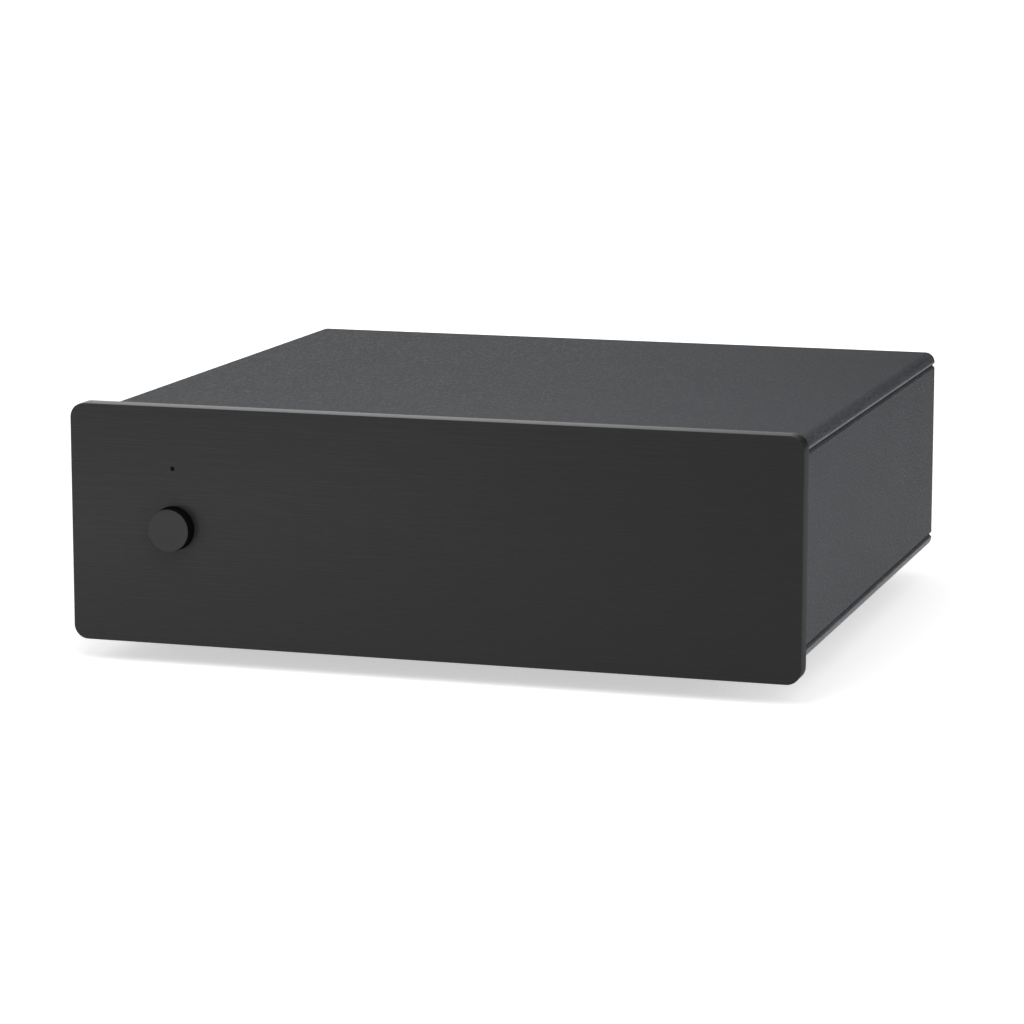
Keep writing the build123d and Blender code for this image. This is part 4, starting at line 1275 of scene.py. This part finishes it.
@dataclass
class PowerButton:
    """The round power button, with its switch, return spring and indicator lamp."""

    face_round: float = 0.14 * MM
    face_rim: float = 1.2 * MM
    face_rings: int = 10
    radius: float = 5.85 * MM
    flange_radius: float = 6.95 * MM
    flange_thickness: float = 1.5 * MM
    flange_break: float = 0.1 * MM
    bore_radius: float = 1.72 * MM
    bore_depth: float = 4.0 * MM
    dish: float = 0.05 * MM
    wire_radius: float = 0.25 * MM
    coil_radius: float = 2.6 * MM
    coil_turns: float = 4.5
    flat_turns: float = 0.75
    coil_steps: int = 32
    wire_sides: int = 10
    travel: float = 2.5 * MM
    spring_margin: float = 0.25 * MM  # beyond the spring's end, where its motion is the travel

    def button(self) -> None:
        """Makes the button: a turned cap with a very slightly dished face and a flange."""
        low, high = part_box("power_button")
        at = middle("power_button")
        length, dished = high.y - low.y, self.radius - self.face_rim
        wall = rings_along(
            [(dished, length), (self.radius, length),
             (self.radius, self.flange_thickness), (self.flange_radius, self.flange_thickness),
             (self.flange_radius, 0.0), (self.bore_radius, 0.0)],
            [self.face_round, self.flange_break, self.flange_break, self.flange_break], steps=8,
        )
        face = [
            Ring(r, length - self.dish * (1 - (r / dished) ** 2))
            for r in np.linspace(0, dished, self.face_rings)
        ]
        bore = [Ring(self.bore_radius, self.bore_depth), Ring(0.0, self.bore_depth)]
        shape = turned(
            [*face[:-1], *wall, *bore], (at.x, high.y, at.z), Facing.FRONT, around=2 * AROUND,
        )
        button = fit("turned_power_button", shape, TURNED_BUTTON, "button", "anodised_button",
                     "power_button")
        front = low.y + self.face_round

        def flank_faces(centres: Grid, normals: Grid) -> Grid:
            """Everything behind the rounded edge of the face."""
            return centres[:, 1] > front

        # Everything behind the face's rounded edge gets painted shade, near black.
        machine(button, FLANK_PAINTED_SHADE, flank_faces)

    def spring(self) -> None:
        """Makes the return spring: a round wire along a helix whose end turns lie flat.

        A point is the helix's point plus the wire's radius times the cosine of the wire's angle
        outwards and the sine along the axis. The rise runs evenly between the flat end turns.
        """
        low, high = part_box("switch_spring")
        at = middle("switch_spring")
        t = np.linspace(0, 1, int(self.coil_turns * self.coil_steps) + 1)
        angle = t * self.coil_turns * math.tau
        flat_share = self.flat_turns / self.coil_turns
        rise = np.clip((t - flat_share) / (1 - 2 * flat_share), 0, 1)
        y = low.y + self.wire_radius + rise * (high.y - low.y - 2 * self.wire_radius)
        round_wire = np.arange(self.wire_sides) * math.tau / self.wire_sides
        reach = self.coil_radius + self.wire_radius * np.cos(round_wire)[None, :]
        points = np.stack([
            at.x + reach * np.cos(angle)[:, None],
            y[:, None] + self.wire_radius * np.sin(round_wire)[None, :],
            at.z + reach * np.sin(angle)[:, None],
        ], -1)
        faces = strip_faces(len(t), self.wire_sides).tolist()
        first = np.arange(self.wire_sides)
        faces += [first.tolist(), (first + (len(t) - 1) * self.wire_sides).tolist()]
        coil = fit("switch_return_spring", (points, faces), NICKEL_PLATE, "root", "zinc_steel",
                   "switch_spring")
        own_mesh(coil)

    def build(self) -> None:
        """Makes the button and its spring, and dresses the switch and the lamp."""
        self.button()
        self.spring()
        dress(BLACK_NYLON, "switch_plunger", "switch_housing")
        dress(SMOKED_ACRYLIC, "light_pipe")
        dress(CLEAR_ACRYLIC, "power_led")


@dataclass
class PhonoSockets:
    """Two input and two output sockets with gold plated shells."""

    shells: tuple[str, ...] = (
        "output_socket_left", "output_socket_right", "input_socket_left", "input_socket_right",
    )
    neck_radius: float = 4.9 * MM
    sleeve_radius: float = 4.15 * MM
    bore_radius: float = 3.4 * MM
    neck_protrusion: float = 3.0 * MM
    flange_width: float = 13.0 * MM
    flange_thickness: float = 2.0 * MM
    flange_bevel: float = 0.4 * MM
    nut_thickness: float = 2.5 * MM
    nut_bevel: float = 0.5 * MM
    thread_play: float = 0.03 * MM
    contact_radius: float = 2.05 * MM
    contact_bore: float = 1.6 * MM
    contact_depth: float = 8.5 * MM
    contact_mouth_round: float = 0.15 * MM
    contact_edge_round: float = 0.1 * MM
    tail_half_width: float = 0.8 * MM
    tail_half_thickness: float = 0.4 * MM
    mouth_round: float = 0.2 * MM
    mouth_outer_round: float = 1.4 * mouth_round
    mouth_depth: float = 1.0 * MM
    shoulder_round: float = 0.1 * MM
    neck_round: float = 0.25 * MM
    insulator_inner_round: float = 0.15 * MM
    insulator_outer_round: float = 0.1 * MM
    insulator_break: float = 0.02 * MM

    def shell(self, at: Vector, face: float, inner: float, end: float) -> Solid:
        """A socket's shell: sleeve, neck through the rear panel and hexagon flange inside.

        Args:
            at: A point on the socket's axis.
            face: y of the rear panel's outer face.
            inner: y of the flange's inner end.
            end: y of the sleeve's mouth.

        Returns:
            Points and faces.
        """
        mouth, neck = end - face, self.neck_protrusion
        back = inner - face
        outside = rings_along(
            [(self.bore_radius, mouth - self.mouth_depth), (self.bore_radius, mouth),
             (self.sleeve_radius, mouth), (self.sleeve_radius, neck),
             (self.neck_radius, neck), (self.neck_radius, back + self.flange_thickness)],
            [self.mouth_round, self.mouth_outer_round, self.shoulder_round, self.neck_round],
        )
        flange = hexagon_band(
            self.flange_width, back, back + self.flange_thickness, self.flange_bevel,
        )
        rings = [Ring(self.bore_radius, back), *outside, *flange[::-1]]
        return turned(rings, (at.x, face, at.z), Facing.BACK, closed=True)

    def insulators(self, name: str, finish: Finish, slot: str, shells: Sequence[str]) -> None:
        """Makes the insulators of one channel.

        Args:
            name: The CAD node that they replace.
            finish: Their finish.
            slot: Their material slot.
            shells: The shells that they stand in.
        """
        low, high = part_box(name)
        corners = [
            (self.contact_radius, low.y), (self.contact_radius, high.y),
            (self.bore_radius, high.y), (self.bore_radius, low.y),
        ]
        radii = [self.insulator_break, self.insulator_inner_round, self.insulator_outer_round,
                 self.insulator_break]
        places = [(at.x, 0.0, at.z) for at in map(middle, shells)]
        rings = rings_along(corners, radii, closed=True)
        solid = turned_copies(rings, places, Facing.BACK, closed=True)
        fit(f"moulded_{name}", solid, finish, "root", slot, name)

    def contacts(self) -> None:
        """Makes the centre contacts: tubes with a rounded mouth, and tails to the board."""
        low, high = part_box("socket_contacts")
        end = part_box("socket_insulators_left")[0].y
        corners = [
            (self.contact_bore, high.y - self.contact_depth), (self.contact_bore, high.y),
            (self.contact_radius, high.y), (self.contact_radius, end),
        ]
        tube = [
            Ring(0.0, high.y - self.contact_depth),
            *rings_along(corners, [self.contact_mouth_round, self.contact_edge_round]),
            Ring(0.0, end),
        ]
        half_width, half_thickness = self.tail_half_width, self.tail_half_thickness
        solids = []
        for at in map(middle, self.shells):
            left, right = at.x - half_width, at.x + half_width
            solids += [
                turned(tube, (at.x, 0.0, at.z), Facing.BACK),
                box_solid((left, low.y, at.z - half_thickness),
                          (right, end, at.z + half_thickness)),
                box_solid((left, low.y, low.z),
                          (right, low.y + 2 * half_thickness, at.z - half_thickness)),
            ]
        fit("plated_socket_contacts", merged(solids), GOLD_PLATE, "root", "gold_plate",
            "socket_contacts")

    def build(self) -> None:
        """Makes the sockets."""
        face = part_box("rear_panel")[1].y
        for node in self.shells:
            low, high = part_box(node)
            shape = self.shell(middle(node), face, low.y, high.y)
            fit(f"plated_{node}", shape, GOLD_PLATE, "root", "gold_plate", node)
        self.insulators("socket_insulators_left", WHITE_ACETAL, "white_plastic", self.shells[::2])
        self.insulators("socket_insulators_right", RED_ACETAL, "red_plastic", self.shells[1::2])
        self.contacts()
        band = hexagon_band(self.flange_width, 0.0, self.nut_thickness, self.nut_bevel)
        bore = self.neck_radius + self.thread_play
        rings = [Ring(bore, 0.0), *band, Ring(bore, self.nut_thickness)]
        places = [(at.x, face, at.z) for at in map(middle, self.shells)]
        nuts = turned_copies(rings, places, Facing.BACK, closed=True)
        fit("plated_socket_nuts", nuts, GOLD_PLATE, "root", "gold_plate", "socket_nuts")


@dataclass
class GroundTerminal:
    """The ground terminal: threaded post, flange, washer, knurled thumb nut and lock nut."""

    post_radius: float = 2.0 * MM
    thread_pitch: float = 0.7 * MM
    thread_depth: float = 0.3 * MM
    thread_steps: int = 8  # rings in each pitch
    tip_height: float = 0.3 * MM
    tip_inset: float = 0.45 * MM
    shank_inset: float = 0.01 * MM
    flange_width: float = 8.0 * MM
    flange_thickness: float = 1.2 * MM
    flange_bevel: float = 0.3 * MM
    washer_bore: float = 2.3 * MM
    washer_round: float = 0.12 * MM
    nut_radius: float = 5.0 * MM
    nut_bore: float = 2.06 * MM
    nut_bevel: float = 0.6 * MM
    bore_bevel: float = 0.2 * MM
    shoulder: float = 0.7  # share of the nut's bevel at which it meets the knurl's roots
    knurl_depth: float = 0.22 * MM
    knurl_count: int = 36
    knurl_steps: int = 8  # round each diamond
    knurl_rings: int = 40

    def threaded(self, angle: Grid, height: Grid, radius: Grid) -> Grid:
        """A thread's radii: less a triangle wave of height minus turned angle.

        Args:
            angle: Angle of each point.
            height: Height of each point.
            radius: Radius of each point before the cut.

        Returns:
            The new radii. Those well inside the post's own radius stay.
        """
        phase = (height / self.thread_pitch - angle / math.tau) % 1
        wave = np.abs(2 * phase - 1)
        outer = radius > self.post_radius - self.thread_depth / 2
        return radius - np.where(outer, self.thread_depth * wave, 0)

    def knurled(self, angle: Grid, height: Grid, radius: Grid) -> Grid:
        """A diamond knurl's radii: less the larger of two triangle waves that cross.

        Args:
            angle: Angle of each point.
            height: Height of each point.
            radius: Radius of each point before the cut.

        Returns:
            The new radii. Those inside the nut's rim stay.
        """
        lean = height / (math.tau * self.nut_radius / self.knurl_count)
        turns = angle * self.knurl_count / math.tau
        one = np.abs(2 * ((turns + lean) % 1) - 1)
        other = np.abs(2 * ((turns - lean) % 1) - 1)
        rim = radius > self.nut_radius - self.knurl_depth / 2
        return radius - np.where(rim, self.knurl_depth * np.maximum(one, other), 0)

    def build(self) -> None:
        """Makes the terminal."""
        low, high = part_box("ground_post")
        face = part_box("rear_panel")[1].y
        at = middle("ground_post")
        start, end = low.y - face, high.y - face
        count = int((end - self.flange_thickness) / self.thread_pitch * self.thread_steps)
        thread = [
            Ring(self.post_radius, h)
            for h in np.linspace(self.flange_thickness, end - self.tip_height, count)
        ]
        flange = hexagon_band(self.flange_width, 0.0, self.flange_thickness, self.flange_bevel)
        shank = self.post_radius - self.shank_inset
        inside = [Ring(0.0, start), Ring(shank, start), Ring(shank, 0.0)]
        tip = [Ring(self.post_radius - self.tip_inset, end), Ring(0.0, end)]
        post = turned([*inside, *flange, *thread, *tip], (at.x, face, at.z), Facing.BACK,
                      relief=self.threaded)
        fit("plated_ground_post", post, GOLD_PLATE, "root", "gold_plate", "ground_post")
        low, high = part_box("ground_washer")
        outer = (high.x - low.x) / 2
        corners = [(self.washer_bore, low.y), (self.washer_bore, high.y), (outer, high.y),
                   (outer, low.y)]
        rings = rings_along(corners, self.washer_round, closed=True)
        washer = turned(rings, (at.x, 0.0, at.z), Facing.BACK, closed=True)
        fit("plated_ground_washer", washer, GOLD_PLATE, "washer", "gold_plate", "ground_washer")
        self.nut()
        dress(ZINC_STEEL, "ground_lock_nut")

    def nut(self) -> None:
        """Makes the knurled thumb nut, with a bevel at both ends."""
        low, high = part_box("ground_nut")
        at = middle("ground_post")
        length, outer = high.y - low.y, (high.x - low.x) / 2
        bore, bore_bevel, bevel = self.nut_bore, self.bore_bevel, self.nut_bevel
        root, shoulder = outer - self.knurl_depth, bevel * self.shoulder
        side = [Ring(outer, h) for h in np.linspace(bevel, length - bevel, self.knurl_rings)]
        rings = [
            Ring(bore, bore_bevel), Ring(bore + bore_bevel, 0.0), Ring(outer - bevel, 0.0),
            Ring(root, shoulder), *side, Ring(root, length - shoulder),
            Ring(outer - bevel, length), Ring(bore + bore_bevel, length),
            Ring(bore, length - bore_bevel),
        ]
        shape = turned(rings, (at.x, low.y, at.z), Facing.BACK, closed=True,
                       relief=self.knurled, around=self.knurl_steps * self.knurl_count)
        fit("knurled_ground_nut", shape, GOLD_PLATE, "thumb_nut", "gold_plate", "ground_nut")


@dataclass
class PowerInlet:
    """The inlet for a barrel plug: a moulded body with a round nose, and its pin."""

    pin_radius: float = 1.05 * MM
    tip_round: float = 0.6 * MM

    def build(self) -> None:
        """Makes the pin, with a round tip, and dresses the moulded body."""
        low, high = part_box("power_inlet_pin")
        at = middle("power_inlet_pin")
        pin = [
            Ring(0.0, low.y),
            *rings_along([(self.pin_radius, low.y), (self.pin_radius, high.y), (0.0, high.y)],
                         self.tip_round),
        ]
        shape = turned(pin, (at.x, 0.0, at.z), Facing.BACK)
        fit("plated_inlet_pin", shape, NICKEL_PLATE, "root", "nickel_pin", "power_inlet_pin")
        dress(BLACK_NYLON, "power_inlet")


@dataclass
class SettingSwitches:
    """Two banks of six small switches in the base, whose levers slide along the case."""

    edge_round: float = 0.12 * MM
    sign_height: float = 1.3 * MM
    sign_depth: float = 0.02 * MM
    sign_gap: float = 0.5 * MM
    switch_count: int = 6

    def levers(self) -> None:
        """Makes the levers, small blocks with rounded edges."""
        for node in sorted(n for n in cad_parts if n.startswith("switch_lever_")):
            low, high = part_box(node)
            lever = rounded_box(low, high, self.edge_round, f"moulded_{node}")
            settle(lever, WHITE_ACETAL, node.replace("switch_", ""), "lever_plastic", node)

    def numbers(self) -> None:
        """Prints the numbers 1 to 6 on each bank's face, read from below."""
        for bank in ("left", "right"):
            low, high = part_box(f"switch_bank_{bank}")
            for number in range(1, self.switch_count + 1):
                lever = middle(f"switch_lever_{bank}_{number}")
                curve = bpy.data.curves.new("number", "FONT")
                curve.body = str(number)
                curve.size = self.sign_height
                curve.align_x = "CENTER"
                curve.align_y = "CENTER"
                curve.extrude = self.sign_depth / 2
                text = bpy.data.objects.new("number", curve)
                mesh = bpy.data.meshes.new_from_object(text)
                bpy.data.objects.remove(text)
                bpy.data.curves.remove(curve)
                turn = Matrix.Rotation(math.pi, 4, "X")
                at = (lever.x, high.y - self.sign_gap - self.sign_height / 2, low.z)
                mesh.transform(Matrix.Translation(at) @ turn)
                sign = bpy.data.objects.new(f"number_{bank}_{number}", mesh)
                bpy.context.scene.collection.objects.link(sign)
                settle(sign, WHITE_INK, "root", "lever_plastic")

    def build(self) -> None:
        """Makes the levers and numbers, and dresses the banks."""
        dress(BLUE_POLYESTER, "switch_bank_left", "switch_bank_right")
        self.levers()
        self.numbers()


@dataclass
class Boards:
    """The two boards with their pillars and parts, which the closed case hides."""

    def build(self) -> None:
        """Dresses the boards and what they carry."""
        dress(BOARD_LAMINATE, "main_board", "front_board")
        dress(ZINC_STEEL, "board_pillars", "front_board_pillars")
        dress(SHRINK_SLEEVE, "electrolytic_capacitors")
        dress(RED_POLYESTER, "film_capacitors")
        dress(BLACK_NYLON, "amplifier_chips", "voltage_regulators")
        dress(RIBBON_PVC, "ribbon_cable")


# ---- Studio

@dataclass(frozen=True)
class Lamp:
    """A soft rectangular lamp that faces the object and doesn't show in reflections."""

    name: str
    at: tuple[float, float, float]
    width: float
    height: float
    power: float


@dataclass
class Studio:
    """Floor, lights and camera."""

    azimuth: float = math.radians(17.167)
    elevation: float = math.radians(10.069)
    lens: float = 131.9
    sensor_width: float = 36.0
    across: float = -22.897 * MM
    above: float = -40.238 * MM
    ahead: float = 1011.04 * MM
    floor_size: float = 12.0
    world_light: float = 0.56
    floor_colour: str = "#f4f4f4"
    floor_glow: float = 0.53
    board_low: tuple[float, float, float] = (-0.6, 1.0, 0.0)
    board_high: tuple[float, float, float] = (0.8, 0.8, 0.5)
    board_shade: tuple[float, float] = (-0.38, 0.2)
    aim: tuple[float, float, float] = (0.0, 0.0, 0.04)
    lamps: tuple[Lamp, ...] = (
        Lamp("key", at=(-0.18, -0.31, 0.013), width=0.22, height=0.022, power=0.38),
        Lamp("fill", at=(0.45, -0.11, 0.1), width=0.3, height=0.2, power=0.46),
        Lamp("top", at=(0.0, -0.25, 0.25), width=0.2, height=0.2, power=0.38),
        Lamp("rear", at=(-0.1, 1.0, 0.3), width=0.6, height=0.4, power=2.5),
    )

    def floor(self) -> None:
        """Lays the floor: pale, with a glow of its own for the camera and reflections.

        From below it is clear, so that the underside of the object can be looked at.
        """
        half = self.floor_size / 2
        points = np.array([(-half, -half, 0), (half, -half, 0), (half, half, 0), (-half, half, 0)])
        floor = make_piece("studio_floor", points, [[0, 1, 2, 3]])
        paint = bpy.data.materials.new("floor_paint")
        tree = cleared_tree(paint)
        diffuse = add_node(tree, "ShaderNodeBsdfDiffuse", {"Color": linear(self.floor_colour)})
        strength = add_node(tree, "ShaderNodeMath", {
            0: self.seen_directly(tree), 1: self.floor_glow,
        }, operation="MULTIPLY")
        glow = add_node(tree, "ShaderNodeEmission", {
            "Color": linear(WHITE), "Strength": strength.outputs[0],
        })
        both = add_node(tree, "ShaderNodeAddShader", {0: diffuse.outputs[0], 1: glow.outputs[0]})
        clear = add_node(tree, "ShaderNodeBsdfTransparent")
        under = add_node(tree, "ShaderNodeNewGeometry").outputs["Backfacing"]
        one_sided = add_node(tree, "ShaderNodeMixShader", {
            0: under, 1: both.outputs[0], 2: clear.outputs[0],
        })
        add_node(tree, "ShaderNodeOutputMaterial", {"Surface": one_sided.outputs[0]})
        floor.data.materials.append(paint)

    @staticmethod
    def seen_directly(tree: bpy.types.NodeTree) -> bpy.types.NodeSocket:
        """Adds a test for rays from the camera, mirrors and glass.

        Args:
            tree: The node tree.

        Returns:
            A socket that is 1 for those rays and 0 for others.
        """
        path = add_node(tree, "ShaderNodeLightPath")
        first = add_node(tree, "ShaderNodeMath", {
            0: path.outputs["Is Camera Ray"], 1: path.outputs["Is Glossy Ray"],
        }, operation="MAXIMUM")
        return add_node(tree, "ShaderNodeMath", {
            0: first.outputs[0], 1: path.outputs["Is Transmission Ray"],
        }, operation="MAXIMUM").outputs[0]

    def board(self) -> None:
        """Stands a board behind the object that only reflections show, shaded to black.

        It darkens the covers' rounded edges and the right of the top, and gives the plated metal
        something dark to mirror.
        """
        low, high = self.board_low, self.board_high
        points = np.array([low, (high[0], high[1], low[2]), high, (low[0], low[1], high[2])])
        board = make_piece("studio_board", points, [[0, 1, 2, 3]])
        paint = bpy.data.materials.new("shaded_board")
        tree = cleared_tree(paint)
        place = add_node(tree, "ShaderNodeTexCoord").outputs["Object"]
        across = add_node(tree, "ShaderNodeSeparateXYZ", {0: place}).outputs["X"]
        shade = add_node(tree, "ShaderNodeMapRange", {
            "Value": across, "From Min": self.board_shade[0], "From Max": self.board_shade[1],
            "To Min": 1.0, "To Max": 0.0,
        }, interpolation_type="SMOOTHSTEP")
        glow = add_node(tree, "ShaderNodeEmission", {"Strength": shade.outputs["Result"]})
        add_node(tree, "ShaderNodeOutputMaterial", {"Surface": glow.outputs[0]})
        board.data.materials.append(paint)
        board.visible_camera = False
        board.visible_diffuse = False
        board.visible_shadow = False

    def world(self) -> None:
        """Sets a white surround that the camera and reflections see at full strength."""
        world = bpy.data.worlds.new("studio_surround")
        bpy.context.scene.world = world
        tree = cleared_tree(world)
        strength = add_node(tree, "ShaderNodeMapRange", {
            "Value": self.seen_directly(tree), "To Min": self.world_light, "To Max": 1.0,
        })
        background = add_node(tree, "ShaderNodeBackground", {
            "Color": linear(WHITE), "Strength": strength.outputs["Result"],
        })
        add_node(tree, "ShaderNodeOutputWorld", {"Surface": background.outputs[0]})

    def light(self) -> None:
        """Hangs the soft lamps, turned towards the middle of the object."""
        for lamp in self.lamps:
            light = bpy.data.lights.new(lamp.name, "AREA")
            light.shape = "RECTANGLE"
            light.size, light.size_y = lamp.width, lamp.height
            light.energy = lamp.power
            holder = bpy.data.objects.new(lamp.name, light)
            holder.location = lamp.at
            away = Vector(lamp.at) - Vector(self.aim)
            holder.rotation_euler = away.to_track_quat("Z", "Y").to_euler()
            holder.visible_glossy = False
            bpy.context.scene.collection.objects.link(holder)

    def camera(self) -> None:
        """Sets the camera from its angles and its distances to the front panel's lower edge."""
        low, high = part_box("front_panel")
        anchor = Vector(((low.x + high.x) / 2, low.y, low.z))
        a, e = self.azimuth, self.elevation
        right = Vector((math.cos(a), math.sin(a), 0))
        back = Vector((math.sin(a) * math.cos(e), -math.cos(a) * math.cos(e), math.sin(e)))
        up = back.cross(right)
        place = anchor - right * self.across - up * self.above + back * self.ahead
        data = bpy.data.cameras.new("camera")
        data.lens = self.lens
        data.sensor_width = self.sensor_width
        camera = bpy.data.objects.new("camera", data)
        turn = Matrix((right, up, back)).transposed().to_4x4()
        camera.matrix_world = Matrix.Translation(place) @ turn
        bpy.context.scene.collection.objects.link(camera)
        bpy.context.scene.camera = camera

    def build(self) -> None:
        """Sets up the studio."""
        self.floor()
        self.board()
        self.world()
        self.light()
        self.camera()
        bpy.context.scene.view_settings.view_transform = "Standard"


def main() -> None:
    """Builds the sub-assemblies in order, then the studio."""
    logging.basicConfig(level=logging.INFO, format="%(name)s: %(message)s")
    for sub_assembly in (
        FrontPanel(), CaseShell(), CaseScrews(), Feet(), PowerButton(), PhonoSockets(),
        GroundTerminal(), PowerInlet(), SettingSwitches(), Boards(), Studio(),
    ):
        log.info("-- %s", type(sub_assembly).__name__)
        sub_assembly.build()


if __name__ == "__main__":
    main()
